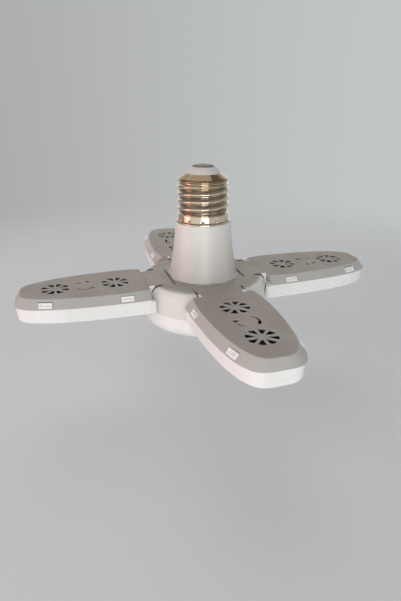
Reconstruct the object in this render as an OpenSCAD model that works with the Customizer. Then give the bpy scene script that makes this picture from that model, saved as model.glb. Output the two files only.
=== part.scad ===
// Deformable garage light: a screw-cap lamp with four light leaves hinged round a drum.
// The leaves lie flat at rest and fold up beside the neck. Millimetres, +Z up.
// The origin is the top of the cap's centre contact, and the lamp hangs below it.

/* [Screw cap] */
// Diameter over the crests of the rounded cap thread
thread_d = 26.4; // [25.8:0.1:27.2]
// Radial depth of the rounded thread
thread_depth = 1.1; // [0.6:0.05:1.3]
// Distance from crest to crest
thread_pitch = 3.63; // [3.2:0.01:4]
// Crests between the cap's shoulder and its skirt
thread_turns = 4; // [3:1:5]
// Thickness of the cap's sheet metal
cap_wall = 0.4; // [0.25:0.05:0.6]
// Diameter of the skirt where the cap meets the neck
skirt_d = 28; // [27.6:0.1:28.6]
// Length of the plain skirt below the thread
skirt_h = 5.1; // [3:0.1:6]
// Diameter of the centre contact
contact_d = 11.4; // [10.4:0.1:12.4]
// Height of the centre contact
contact_h = 1.1; // [0.8:0.1:1.6]
// Diameter of the insulator where the metal starts
insulator_d = 17.2; // [16:0.1:18.5]
// Height of the insulator's visible cone
insulator_h = 3.3; // [2.5:0.1:4]
// Height of the cap's metal cone between insulator and thread
shoulder_h = 4.5; // [3.6:0.1:5.5]

/* [Neck and drum] */
// Diameter of the neck at its top
neck_top_d = 28.8; // [28.8:0.1:31]
// Gap between the neck's foot and the root of a leaf's tongue
root_gap = 2.25; // [1.8:0.05:3]
// Height of the neck from the cap's skirt to the drum's top
neck_h = 28.9; // [26:0.1:40]
// How late the neck flares: 1 is a straight cone
neck_flare = 1.5; // [1:0.1:2.5]
// Distance from the hinge axis out to the drum's side
drum_rim = 7.25; // [7:0.05:8]
// Height of the drum's side
drum_h = 13.6; // [13.4:0.1:16]
// Radius of the drum's rounded top edge
drum_edge_r = 3; // [2:0.1:3.5]
// Radius of the fillet between neck and drum
neck_fillet_r = 1.4; // [0.8:0.1:2]
// Wall of the drum and the neck
shell_wall = 1.8; // [1.4:0.1:1.9]
// Height of the neck's spigot inside the cap
spigot_h = 12; // [8:0.5:15]

/* [Leaves] */
// Distance from the lamp's axis to the hinge axis
hinge_r = 26.75; // [26.5:0.05:27.5]
// Depth of the hinge axis below the leaf's top
hinge_drop = 4.1; // [3.9:0.05:4.4]
// Distance from the hinge axis to the leaf's shoulder
shoulder_gap = 5.75; // [5.75:0.05:7]
// Length of a leaf from its shoulder to its tip
leaf_l = 65; // [62:0.5:78]
// Half width of the leaf at its rim
rim_half = 19.9; // [19:0.1:20.4]
// How much narrower the rim gets towards the tip, before the tip closes
rim_taper = 4.6; // [3:0.1:6]
// How far the flat top lies inside the rim
bevel_w = 2.6; // [2.2:0.1:3]
// Height of the sloping border between flat top and rim
bevel_h = 4.3; // [4:0.1:4.8]
// Radius of the small round between flat top and border
top_round = 0.5; // [0.3:0.1:0.8]
// Squareness of the leaf's tip
tip_power = 5; // [4:0.5:7]
// Radius of the leaf's shoulder corners
corner_r = 1; // [0.5:0.1:1.6]
// Thickness of the cover's plate
cover_wall = 1.8; // [1.5:0.1:2]
// Height of the leaf's diffuser below the rim
lens_h = 8; // [7.4:0.1:8.6]
// Wall of the leaf's diffuser
lens_wall = 1.5; // [1.2:0.1:1.6]
// Step from the cover's rim in to the diffuser's side
lens_step = 0.35; // [0.2:0.05:0.5]
// Height of the diffuser's rounded lower edge
lens_round = 1.8; // [1.4:0.1:2.4]
// Length of the diffuser's part of the tongue
cheek_l = 2.9; // [2.4:0.1:3.2]
// Thickness of the diffuser's cheeks beside the tongue
cheek_t = 1.2; // [1:0.1:1.5]
// Gap between the tongue's foot and the plate in the drum
foot_gap = 0.5; // [0.4:0.05:0.8]
// Play where two mouldings slide into each other
fit = 0.1; // [0.05:0.01:0.15]

/* [Hinges] */
// Width of a leaf's tongue
tongue_w = 24; // [22:0.1:24.2]
// Gap between the tongue and the drum's lobe on each side
tongue_gap = 0.5; // [0.45:0.05:0.8]
// Radius of the tongue's rounded root
barrel_r = 6.3; // [5.8:0.1:6.6]
// Diameter of a hinge pin
pin_d = 3.4; // [3:0.1:4]
// Radial clearance of a pin in the tongue
pin_play = 0.05; // [0.02:0.01:0.09]
// Bore along a hinge pin, for the lead
pin_bore_d = 1.9; // [1.6:0.1:2]
// Length of a pin inside the tongue
pin_in = 3.8; // [3:0.1:5]
// Thickness of the boss that holds a pin behind the lobe's wall
boss_t = 1.5; // [1:0.1:1.6]
// Diameter of the friction washer
washer_d = 9; // [7:0.1:10]
// Clearance on each side of a friction washer
washer_play = 0.05; // [0.02:0.01:0.08]

/* [Vents] */
// Distance from the shoulder to the inner ring of vents
vent_in = 15.3; // [14:0.1:17]
// Distance from the shoulder to the outer ring of vents
vent_out = 45.3; // [44:0.1:47]
// Outer radius of a ring of vents
vent_r = 7.3; // [6:0.1:8]
// Radius of the plain centre of a ring of vents
vent_core_r = 2.5; // [2:0.1:3]
// Number of slots in a ring of vents
vent_n = 8; // [6:1:10]
// Width of a vent slot at its outer end
vent_w = 2.9; // [2:0.1:3.2]
// Width of a vent slot at its inner end
vent_tip_w = 0.5; // [0.3:0.1:0.8]
// Distance from the shoulder to the middle of the two curved slots
arc_at = 30.5; // [29:0.1:31.5]
// Radius of the two curved slots
arc_r = 5.2; // [4.6:0.1:5.6]
// Width of the two curved slots
arc_w = 0.9; // [0.6:0.1:1.2]
// Angle that each curved slot covers
arc_angle = 84; // [60:1:110]
// Diameter of the round hole at the end of one curved slot
peg_hole_d = 2; // [1.4:0.1:2.4]

/* [Snap hooks] */
// Distance from the shoulder to the inner pair of hooks
hook_in = 12; // [10:0.1:15]
// Distance from the shoulder to the outer pair of hooks
hook_out = 50.8; // [47:0.1:52]
// Length of a hook's window
window_l = 6; // [4:0.1:7]
// Height of a hook's window
window_h = 2.25; // [1.8:0.05:2.4]
// Gap round a hook in its window
hook_gap = 0.5; // [0.3:0.1:0.8]
// Height of the cover's rim below a window
window_sill = 0.75; // [0.6:0.05:0.9]

/* [Centre light] */
// Step from the drum's side in to the centre diffuser's side
dome_step = 0.5; // [0.2:0.1:1]
// Height of the centre diffuser
dome_h = 11.4; // [10:0.1:16]
// Radius of the centre diffuser's rounded lower edge
dome_r = 7; // [5:0.1:9]
// Wall of the centre diffuser
dome_wall = 1.8; // [1.4:0.1:2]
// Thickness of the base plate
plate_t = 1.5; // [1.2:0.1:1.6]
// Width of the lip that centres the diffuser in the drum
lip_w = 1.4; // [1:0.1:1.6]
// Gap between the centre light board and the screw heads
centre_board_gap = 0.3; // [0.2:0.1:2]
// Thickness of the light boards
board_t = 1.2; // [1:0.1:1.6]
// Gap between the leaf's rim and its light board
board_inset = 2.9; // [2.9:0.1:4]
// Depth of a leaf's light board below the rim
board_drop = 0.8; // [0.6:0.1:1.2]

/* [Driver] */
// Width of the driver board
driver_w = 21; // [16:0.5:22]
// Thickness of the driver board
driver_t = 1.2; // [1:0.1:1.6]
// Gap between the driver board's top and the neck's top
driver_top_gap = 3; // [2:0.5:10]
// Diameter of the capacitor on the driver board
capacitor_d = 10; // [8:0.1:11]
// Length of the capacitor on the driver board
capacitor_l = 14; // [10:0.1:16]
// Side length of the transformer on the driver board
transformer_w = 13; // [10:0.1:14]
// Thickness of the transformer on the driver board
transformer_t = 9; // [7:0.1:10]

/* [Fasteners and leads] */
// Shank diameter of the screws
screw_d = 2.2; // [1.8:0.1:2.4]
// Head diameter of the screws
screw_head_d = 4.2; // [3.6:0.1:4.4]
// Head height of the screws
screw_head_h = 1.2; // [0.8:0.1:1.4]
// Wall of a screw boss round its pilot hole
boss_wall = 1.3; // [1:0.1:1.5]
// Distance from the drum's side in to its screws
drum_screw_in = 5.8; // [5.5:0.1:6.2]
// Diameter of the leads
lead_d = 1.3; // [0.9:0.1:1.4]
// Bend radius of the leads, along their middle
lead_bend = 1.1; // [0.8:0.1:1.2]

/* [Lights] */
// Length of a light chip
chip_l = 3.5; // [2.8:0.1:4]
// Width of a light chip
chip_w = 2.8; // [2:0.1:3]
// Height of a light chip
chip_h = 0.8; // [0.6:0.1:1]
// Distance between two light chips along a leaf
chip_step = 7.5; // [6.5:0.5:12]

/* [Hidden] */
$fn = 72;
eps = 0.01;

// Leaf numbers, counted anticlockwise from +X seen from above.
RIGHT = 0;
BACK = 1;
LEFT = 2;
FRONT = 3;

// Levels of the cap, from the contact down.
insulator_z = -contact_h - insulator_h;
thread_z = insulator_z - shoulder_h;
skirt_z = thread_z - thread_turns * thread_pitch;
neck_z = skirt_z - skirt_h;

// Levels of the drum and the leaves.
top_z = neck_z - neck_h;
rim_z = top_z - bevel_h;
lens_z = rim_z - lens_h;
pivot_z = top_z - hinge_drop;
drum_z = top_z - drum_h;
plate_z = drum_z + plate_t;
foot_z = max(lens_z, plate_z + foot_gap);
dome_z = drum_z - dome_h;
ceiling_z = top_z - cover_wall;
board_z = rim_z - board_drop;

// Radii of the cap and the shell.
crest_r = thread_d / 2;
root_r = crest_r - thread_depth;
spigot_r = root_r - cap_wall - 0.2;
drum_r = hinge_r + drum_rim;
core_r = hinge_r - barrel_r - root_gap;
notch_half = tongue_w / 2 + tongue_gap;
lip_out_r = drum_r - shell_wall - 2 * fit;
lip_in_r = lip_out_r - lip_w;
plate_r = lip_in_r - fit;
drum_screw_r = drum_r - drum_screw_in;
centre_board_r = drum_screw_r - screw_head_d / 2 - centre_board_gap;

// Distances from the lamp's axis along a leaf.
shoulder_x = hinge_r + shoulder_gap;
tip_x = shoulder_x + leaf_l;
vent_in_x = shoulder_x + vent_in;
vent_out_x = shoulder_x + vent_out;
arc_x = shoulder_x + arc_at;
hook_in_x = shoulder_x + hook_in;
hook_out_x = shoulder_x + hook_out;

// The tongue: the cover's part ends where the diffuser's cheeks begin.
cheek_x = shoulder_x - cheek_l;

// The snap hooks stand against the cover's border, whose slope they follow.
bevel_slope = bevel_w / bevel_h;
window_z = rim_z + window_sill;

// Screws that hold a leaf's board: behind the vents, between them and before them.
leaf_screw_x = [(cheek_x + vent_in_x - vent_r) / 2 + 2.4, arc_x, (vent_out_x + vent_r + tip_x) / 2 - 1.8];

// ---------- Outlines ----------

// Stations along a leaf, even along the flank and closer together round the tip.
flank_end = 0.74;
flank_n = 7;
tip_n = 8;
tip_a = asin(pow(flank_end, tip_power / 2));
stations = concat(
  [for (i = [0 : flank_n]) flank_end * i / flank_n],
  [for (i = [1 : tip_n]) pow(sin(tip_a + (90 - tip_a) * i / tip_n), 2 / tip_power)]
);

// Half width of a leaf at the share t of its length.
function half_at(t, half) = (half - rim_taper * t * t) * pow(max(0, 1 - pow(t, tip_power)), 1 / tip_power);

// One side of a leaf's outline, drawn in by inset, with its shoulder at x0.
function side(x0, inset, corner) =
  let (half = rim_half - inset, len = tip_x - inset - x0)
  concat(
    [[x0, half - corner], [x0 + 0.3 * corner, half - 0.3 * corner]],
    [for (t = stations) let (s = max(t, corner / len + t * 0.001)) [x0 + s * len, half_at(s, half)]]
  );

// The whole outline, anticlockwise from the root end of the right side.
function outline(x0, inset, corner) =
  let (up = side(x0, inset, corner), n = len(up))
  concat([for (i = [0 : n - 1]) [up[i].x, -up[i].y]], [for (i = [n - 2 : -1 : 0]) up[i]]);

// The rim's half width and its direction at a distance x from the lamp's axis.
function rim_share(x) = (x - shoulder_x) / (tip_x - shoulder_x);
function rim_y(x) = half_at(rim_share(x), rim_half);
function rim_slope(x) = (rim_y(x + 0.1) - rim_y(x - 0.1)) / 0.2;

// Radius of the neck at the share t of its height.
function neck_r(t) = neck_top_d / 2 + (core_r - neck_top_d / 2) * pow(t, neck_flare);

// Radius of the thread at the depth z below its start, from groove to groove.
function thread_r(z) = root_r + thread_depth * (0.5 - 0.5 * cos(360 * z / thread_pitch));

// Points of an arc about [x, y], from angle a to angle b.
function arc_points(x, y, r, a, b, n = 6) = [for (i = [0 : n]) let (g = a + (b - a) * i / n) [x + r * cos(g), y + r * sin(g)]];

// ---------- Shared shapes ----------

// Solid between outlines: levels holds [z, points] from the top down.
module loft(levels) {
  n = len(levels[0][1]);
  m = len(levels);
  points = [for (l = levels) for (p = l[1]) [p.x, p.y, l[0]]];
  walls = [for (k = [0 : m - 2]) for (i = [0 : n - 1]) let (a = k * n + i, b = k * n + (i + 1) % n)
    each [[a, b, b + n], [a, b + n, a + n]]];
  top_cap = [[for (i = [n - 1 : -1 : 0]) i]];
  bottom_cap = [[for (i = [0 : n - 1]) (m - 1) * n + i]];
  polyhedron(points = points, faces = concat(top_cap, walls, bottom_cap), convexity = 6);
}

// Lays its children along the leaf with number i.
module at_leaf(i) {
  rotate([0, 0, 90 * i])
    children();
}

// A straight run of a lead, upwards from the origin.
module run(length) {
  cylinder(d = lead_d, h = length, $fn = 24);
}

// A quarter bend of a lead about the origin: from the point on -X, heading +Y, to the point on +Y, heading +X.
module bend() {
  rotate([0, 0, 90])
    rotate_extrude(angle = 90, $fn = 48)
      translate([lead_bend, 0])
        circle(d = lead_d, $fn = 24);
}

// A cylinder along the hinge axis, from y = a to y = b.
module along_hinge(a, b, d) {
  translate([hinge_r, a, pivot_z])
    rotate([-90, 0, 0])
      cylinder(d = d, h = b - a);
}

// A screw whose head's bearing face is at the origin, with its shank upwards.
module screw(shank) {
  translate([0, 0, -eps])
    cylinder(d = screw_d, h = shank + eps);
  difference() {
    translate([0, 0, -screw_head_h])
      cylinder(d = screw_head_d, h = screw_head_h);
    for (a = [0, 90])
      rotate([0, 0, a])
        translate([-screw_head_d * 0.3, -0.25, -screw_head_h - 1])
          cube([screw_head_d * 0.6, 0.5, 1.5]);
  }
}

// A light chip hanging under a board: a tray with its yellow pad let in.
module chip() {
  difference() {
    translate([-chip_l / 2, -chip_w / 2, -chip_h])
      cube([chip_l, chip_w, chip_h]);
    translate([0, 0, -chip_h - 0.85])
      cylinder(d = chip_w * 0.75, h = 1);
  }
}

// ---------- Screw cap ----------

module contact_button() {
  edge = 0.5;
  color("goldenrod")
    rotate_extrude()
      polygon(concat(
        [[0, 0]],
        arc_points(contact_d / 2 - edge, -edge, edge, 90, 0, 4),
        [[contact_d / 2, -contact_h], [1.2, -contact_h], [1.2, -contact_h - 6], [0, -contact_h - 6]]
      ));
}

module cap_insulator() {
  foot_r = insulator_d / 2;
  crown_r = contact_d / 2 + 0.3;
  color("ivory")
    rotate_extrude()
      polygon(concat(
        [[1.25, -contact_h]],
        [for (a = [90, 72, 54, 36, 18, 0]) [
          crown_r + (foot_r - crown_r) * (0.25 * cos(a) + 0.75 * (1 - a / 90)),
          insulator_z + insulator_h * (0.25 * sin(a) + 0.75 * a / 90)
        ]],
        [[foot_r - 0.3, insulator_z], [foot_r - 0.3, insulator_z - 1.2], [1.25, insulator_z - 1.2]]
      ));
}

module screw_shell() {
  step = thread_pitch / 8;
  n = thread_turns * 8;
  ripple = [for (i = [0 : n]) [thread_r(i * step), thread_z - i * step]];
  outer = concat(
    [[insulator_d / 2 - 0.25, insulator_z], [insulator_d / 2 + 0.3, insulator_z]],
    [[crest_r - 1.1, thread_z + 1.7], [crest_r - 0.5, thread_z + 1.2], [crest_r - 0.4, thread_z + 0.7]],
    ripple,
    [[skirt_d / 2 - 0.8, skirt_z - 0.8], [skirt_d / 2 - 0.7, neck_z + 1.2], [skirt_d / 2, neck_z + 0.5], [skirt_d / 2, neck_z]]
  );
  inner = concat(
    [[skirt_d / 2 - cap_wall, neck_z], [skirt_d / 2 - 0.8 - cap_wall, skirt_z - 0.8 - cap_wall / 2]],
    [for (i = [n : -1 : 0]) ripple[i] - [cap_wall, 0]],
    [[crest_r - 0.4 - cap_wall, thread_z + 0.5], [crest_r - 1.1 - cap_wall, thread_z + 1.4]],
    [[insulator_d / 2 - 0.25, insulator_z - cap_wall]]
  );
  color("silver")
    rotate_extrude()
      polygon(concat(outer, inner));
}

// The two leads from the driver board to the contact and to the cap's wall.
module cap_leads() {
  board_top = neck_z - driver_top_gap;
  level = neck_z + spigot_h + lead_d / 2 + 0.4;
  side_y = driver_w / 2 - 4.5;
  color("firebrick") {
    translate([0, 0, board_top])
      run(-contact_h - 6 - board_top);
    translate([0, side_y, board_top])
      run(level - lead_bend - board_top);
    translate([0, side_y + lead_bend, level - lead_bend])
      rotate([90, 0, 90])
        bend();
    translate([0, side_y + lead_bend, level])
      rotate([-90, 0, 0])
        run(root_r - cap_wall - side_y - lead_bend);
  }
}

// ---------- Neck and drum ----------

// What the four tongues need: a notch between two lobes, with a straight wall at its root.
module notches(half, root_x) {
  for (i = [0 : 3])
    at_leaf(i)
      translate([root_x, -half, drum_z - 1])
        cube([drum_r + 5 - root_x, 2 * half, drum_h + 6]);
}

module housing_outer() {
  neck_n = 10;
  fillet_x = core_r + neck_fillet_r;
  difference() {
    rotate_extrude()
      polygon(concat(
        [[0, drum_z], [0, neck_z + spigot_h], [spigot_r, neck_z + spigot_h], [spigot_r, neck_z]],
        [for (i = [0 : neck_n]) [neck_r(i / neck_n), neck_z - (neck_h - neck_fillet_r) * i / neck_n]],
        arc_points(fillet_x, top_z + neck_fillet_r, neck_fillet_r, 195, 270, 5),
        arc_points(drum_r - drum_edge_r, top_z - drum_edge_r, drum_edge_r, 90, 0, 8),
        [[drum_r, drum_z]]
      ));
    notches(notch_half, core_r);
  }
}

module housing_inner() {
  neck_n = 6;
  difference() {
    rotate_extrude()
      polygon(concat(
        [[0, drum_z - 1], [0, neck_z + spigot_h + 1], [spigot_r - shell_wall, neck_z + spigot_h + 1]],
        [[spigot_r - shell_wall, neck_z - 1]],
        [for (i = [0 : neck_n]) [neck_r(i / neck_n) - shell_wall, neck_z - 2 - (neck_h - 2) * i / neck_n]],
        [[core_r + 1, top_z - shell_wall]],
        arc_points(drum_r - drum_edge_r, top_z - drum_edge_r, drum_edge_r - shell_wall, 90, 0, 4),
        [[drum_r - shell_wall, drum_z - 1]]
      ));
    notches(notch_half + shell_wall, core_r - shell_wall);
    // Bosses for the hinge pins and for the drum's screws stay solid.
    for (i = [0 : 3])
      at_leaf(i) {
        for (s = [0, 1])
          mirror([0, s, 0])
            along_hinge(notch_half, notch_half + shell_wall + boss_t, pin_d + 4.6);
        rotate([0, 0, 45])
          translate([drum_screw_r, 0, plate_z - 1])
            cylinder(d = screw_d + 2 * boss_wall, h = drum_h + 2);
      }
  }
}

module housing() {
  color("whitesmoke")
    difference() {
      housing_outer();
      housing_inner();
      // Seat of the base plate and the diffuser's lip.
      translate([0, 0, drum_z - 1])
        cylinder(r = lip_out_r + 0.1, h = plate_t + 1);
      for (i = [0 : 3])
        at_leaf(i) {
          for (s = [0, 1])
            mirror([0, s, 0])
              along_hinge(notch_half - 1, notch_half + shell_wall + boss_t + 1, pin_d + 0.04);
          rotate([0, 0, 45])
            translate([drum_screw_r, 0, plate_z - 1])
              cylinder(d = screw_d + 0.1, h = drum_h - plate_t - shell_wall + 0.4);
        }
    }
}

module base_plate() {
  color("lightgray")
    difference() {
      translate([0, 0, drum_z])
        cylinder(r = plate_r, h = plate_t);
      for (i = [0 : 3])
        rotate([0, 0, 45 + 90 * i])
          translate([drum_screw_r, 0, drum_z - 1])
            cylinder(d = screw_d + 0.3, h = plate_t + 2);
    }
}

module hub_screws() {
  color("gray")
    for (i = [0 : 3])
      rotate([0, 0, 45 + 90 * i])
        translate([drum_screw_r, 0, drum_z])
          screw(drum_h - shell_wall - 1.5);
}

// ---------- Hinges ----------

module hinge_pins() {
  color("silver")
    for (i = [0 : 3])
      at_leaf(i)
        for (s = [0, 1])
          mirror([0, s, 0])
            difference() {
              along_hinge(tongue_w / 2 - pin_in, notch_half + shell_wall + boss_t, pin_d);
              along_hinge(tongue_w / 2 - pin_in - 1, notch_half + shell_wall + boss_t + 1, pin_bore_d);
            }
}

module friction_washers() {
  color("dimgray")
    for (i = [0 : 3])
      at_leaf(i)
        for (s = [0, 1])
          mirror([0, s, 0])
            difference() {
              along_hinge(tongue_w / 2 + washer_play, notch_half - washer_play, washer_d);
              along_hinge(tongue_w / 2 - 1, notch_half + 1, pin_d + 2 * pin_play);
            }
}

// The leads from the base plate through the hollow pins, one to each leaf.
module hub_leads() {
  pin_end = notch_half + shell_wall + boss_t;
  start_x = hinge_r - 2 * lead_bend;
  start_y = pin_end + lead_bend + 0.05;
  color("firebrick")
    for (i = [0 : 3])
      at_leaf(i) {
        translate([start_x, start_y, plate_z])
          run(pivot_z - lead_bend - plate_z);
        translate([start_x + lead_bend, start_y, pivot_z - lead_bend])
          rotate([90, 0, 0])
            bend();
        translate([start_x + lead_bend, start_y - lead_bend, pivot_z])
          rotate([0, 0, -90])
            bend();
        translate([hinge_r, start_y - lead_bend, pivot_z])
          rotate([90, 0, 0])
            run(start_y - lead_bend - (tongue_w / 2 - pin_in + 1.1));
      }
}

// ---------- Driver ----------

module driver_board() {
  color("darkgreen")
    translate([-driver_t / 2, -driver_w / 2, plate_z])
      cube([driver_t, driver_w, neck_z - driver_top_gap - plate_z]);
}

module driver_capacitor() {
  color("midnightblue")
    translate([driver_t / 2 + capacitor_d / 2, 0, neck_z - driver_top_gap - 3 - capacitor_l])
      cylinder(d = capacitor_d, h = capacitor_l);
}

module driver_transformer() {
  h = transformer_w;
  core = transformer_w * 0.55;
  color("gold")
    translate([-driver_t / 2 - transformer_t, 0, (neck_z + plate_z) / 2 - h / 2]) {
      translate([0, -transformer_w / 2, 0])
        cube([transformer_t, transformer_w, h * 0.28]);
      translate([0, -transformer_w / 2, h * 0.72])
        cube([transformer_t, transformer_w, h * 0.28]);
      translate([transformer_t / 2, 0, h * 0.28 - eps])
        cylinder(d = core, h = h * 0.44 + 2 * eps);
      translate([transformer_t - 1.2, -core / 2, h * 0.28 - eps])
        cube([1.2, core, h * 0.44 + 2 * eps]);
    }
}

// ---------- Centre light ----------

module centre_board() {
  color("white")
    translate([0, 0, drum_z - board_t])
      cylinder(r = centre_board_r, h = board_t);
}

module centre_chips() {
  ring_r = [0.3, 0.58, 0.86] * centre_board_r;
  ring_n = [6, 12, 18];
  color("khaki")
    for (k = [0 : 2])
      for (i = [0 : ring_n[k] - 1])
        rotate([0, 0, 360 * i / ring_n[k]])
          translate([ring_r[k], 0, drum_z - board_t])
            chip();
}

module centre_diffuser() {
  r = drum_r - dome_step;
  in_r = r - dome_wall;
  in_z = dome_z + dome_wall;
  color("white")
    rotate_extrude()
      polygon(concat(
        [[0, dome_z]],
        arc_points(r - dome_r, dome_z + dome_r, dome_r, 270, 360, 10),
        [[r, drum_z], [lip_out_r, drum_z], [lip_out_r, plate_z - 0.1], [lip_in_r, plate_z - 0.1]],
        [[lip_in_r, drum_z - 0.8], [in_r, drum_z - 2.2]],
        arc_points(in_r - (dome_r - dome_wall), in_z + dome_r - dome_wall, dome_r - dome_wall, 360, 270, 8),
        [[0, in_z]]
      ));
}

// ---------- Leaves ----------

// One wedge-shaped vent slot, pointing along +X.
module vent_slot() {
  bulge = vent_w / 2 * 0.5;
  polygon(concat(
    [[vent_core_r, vent_tip_w / 2], [vent_core_r, -vent_tip_w / 2], [vent_r - bulge, -vent_w / 2]],
    [for (a = [-60, -30, 0, 30, 60]) [vent_r - bulge + bulge * cos(a), vent_w / 2 * sin(a)]],
    [[vent_r - bulge, vent_w / 2]]
  ));
}

// A ring of vent slots, turned by half a step from the leaf's length.
module vent_ring(x) {
  translate([x, 0, ceiling_z - 1])
    linear_extrude(height = cover_wall + 2)
      for (i = [0 : vent_n - 1])
        rotate([0, 0, 360 * (i + 0.5) / vent_n])
          vent_slot();
}

// The two curved slots and the round hole at the root end of one of them.
module curved_slots() {
  hole_a = 180 + (180 - arc_angle) / 2 - 4;
  translate([arc_x, 0, ceiling_z - 1])
    linear_extrude(height = cover_wall + 2) {
      for (a = [0, 180])
        rotate([0, 0, a])
          polygon(concat(
            arc_points(0, 0, arc_r + arc_w / 2, 90 - arc_angle / 2, 90 + arc_angle / 2, 10),
            arc_points(0, 0, arc_r - arc_w / 2, 90 + arc_angle / 2, 90 - arc_angle / 2, 10)
          ));
      rotate([0, 0, hole_a])
        translate([arc_r, 0])
          circle(d = peg_hole_d);
    }
}

// Places a child at the rim at x: its X axis points inwards, its Y axis up, its depth along the rim.
module at_rim(x) {
  for (s = [0, 1])
    mirror([0, s, 0])
      translate([x, rim_y(x), 0])
        rotate([90, 0, atan2(-1, rim_slope(x))])
          children();
}

module cover() {
  half = tongue_w / 2;
  inner_half = half - cheek_t - fit;
  difference() {
    union() {
      difference() {
        loft([
          [top_z, outline(shoulder_x, bevel_w + top_round * 0.8, corner_r)],
          [top_z - top_round * 0.35, outline(shoulder_x, bevel_w + top_round * 0.25, corner_r)],
          [top_z - top_round, outline(shoulder_x, bevel_w - top_round * bevel_slope * 0.4, corner_r)],
          [rim_z, outline(shoulder_x, 0, corner_r)]
        ]);
        loft([
          [ceiling_z, outline(shoulder_x + cover_wall, bevel_w + 1.2, 0.6)],
          [rim_z - 0.2, outline(shoulder_x + cover_wall, cover_wall, 0.6)]
        ]);
      }
      // The tongue's rounded root and the neck that joins it to the plate.
      intersection() {
        along_hinge(-half, half, 2 * barrel_r);
        translate([0, -half, pivot_z - barrel_r])
          cube([cheek_x - fit, 2 * half, barrel_r + hinge_drop]);
      }
      translate([hinge_r, -half, pivot_z - 0.6])
        cube([cheek_x - fit - hinge_r, 2 * half, hinge_drop + 0.6]);
      translate([hinge_r, -inner_half, pivot_z - 0.6])
        cube([shoulder_x + cover_wall - hinge_r, 2 * inner_half, hinge_drop + 0.6]);
      // Bosses for the board's screws.
      for (x = leaf_screw_x)
        translate([x, 0, board_z])
          cylinder(d = screw_d + 2 * boss_wall, h = ceiling_z - board_z + 0.2);
    }
    vent_ring(vent_in_x);
    vent_ring(vent_out_x);
    curved_slots();
    // Windows for the snap hooks.
    for (x = [hook_in_x, hook_out_x])
      at_rim(x)
        translate([-1, window_z, -window_l / 2])
          cube([bevel_w + 2.4, window_h, window_l]);
    // Bores for the pins, and the chamber that the lead passes through.
    for (s = [0, 1])
      mirror([0, s, 0])
        along_hinge(half - pin_in - 0.3, half + 1, pin_d + 2 * pin_play);
    translate([hinge_r - lead_d, -(half - pin_in - 1.2), pivot_z - lead_d / 2 - 0.35])
      cube([shoulder_x + cover_wall + 1 - hinge_r + lead_d, 2 * (half - pin_in - 1.2), hinge_drop + lead_d / 2 + 0.35 - cover_wall]);
    along_hinge(-(half - pin_in), half - pin_in, pin_bore_d);
    // A fine line across the tongue where it leaves the leaf.
    translate([shoulder_x - 0.2, -half, top_z - 0.3])
      cube([0.4, 2 * half, 1]);
    // Pilot holes for the board's screws.
    for (x = leaf_screw_x)
      translate([x, 0, board_z - 1])
        cylinder(d = screw_d + 0.1, h = ceiling_z - board_z + 0.6);
  }
}

// A snap hook in the plane square to the rim: X inwards, Y up.
module hook() {
  linear_extrude(height = window_l - 2 * hook_gap, center = true)
    polygon([
      [lens_step + 0.85, rim_z - 2.8],
      [board_inset - 0.45, rim_z - 2.8],
      [board_inset - 0.45, rim_z - 0.3],
      [board_inset + 0.6, rim_z + 1.1],
      [board_inset + 0.9, rim_z + bevel_h - cover_wall - 0.3],
      [board_inset, rim_z + bevel_h - cover_wall - 0.3],
      [0.9, window_z + 0.35],
      [0.9, window_z + 0.15],
      [cover_wall + 0.95, window_z + 0.15],
      [cover_wall + 0.25, rim_z + 0.04],
      [lens_step + 0.85, rim_z - 0.05]
    ]);
}

module lens() {
  half = tongue_w / 2;
  in_step = lens_step + lens_wall;
  passage = half - cheek_t;
  difference() {
    union() {
      loft([
        [rim_z, outline(shoulder_x, lens_step, corner_r)],
        [lens_z + lens_round, outline(shoulder_x + lens_round * 0.04, lens_step + lens_round * 0.14, corner_r)],
        [lens_z + lens_round * 0.47, outline(shoulder_x + lens_round * 0.12, lens_step + lens_round * 0.3, corner_r)],
        [lens_z + lens_round * 0.15, outline(shoulder_x + lens_round * 0.36, lens_step + lens_round * 0.58, corner_r)],
        [lens_z, outline(shoulder_x + lens_round * 0.76, lens_step + lens_round, corner_r)]
      ]);
      // The part of the tongue that belongs to the diffuser, with its two cheeks.
      translate([cheek_x, -half, foot_z])
        cube([shoulder_x + 2.4 - cheek_x, 2 * half, rim_z - foot_z]);
      for (s = [-1, 1])
        translate([cheek_x, s > 0 ? passage : -half, rim_z - 1])
          cube([shoulder_x - fit - cheek_x, cheek_t, bevel_h + 1 - 0.2]);
    }
    loft([
      [rim_z + 0.1, outline(shoulder_x + lens_wall, in_step, 0.6)],
      [lens_z + lens_wall + 1, outline(shoulder_x + lens_wall + 0.3, in_step + 0.4, 0.6)],
      [lens_z + lens_wall, outline(shoulder_x + lens_wall + 0.8, in_step + 1.3, 0.6)]
    ]);
    translate([cheek_x + cheek_t, -passage, foot_z + lens_wall])
      cube([shoulder_x + 3 - cheek_x - cheek_t, 2 * passage, rim_z - foot_z]);
    translate([cheek_x - 1, -passage, pivot_z - lead_d / 2 - 0.4])
      cube([3, 2 * passage, lens_h]);
  }
  for (x = [hook_in_x, hook_out_x])
    at_rim(x)
      hook();
}

module leaf_board() {
  difference() {
    translate([0, 0, board_z - board_t])
      linear_extrude(height = board_t)
        polygon(outline(shoulder_x + lens_wall + 0.6, board_inset, 0.8));
    for (x = leaf_screw_x)
      translate([x, 0, board_z - board_t - 1])
        cylinder(d = screw_d + 0.3, h = board_t + 2);
  }
}

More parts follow.
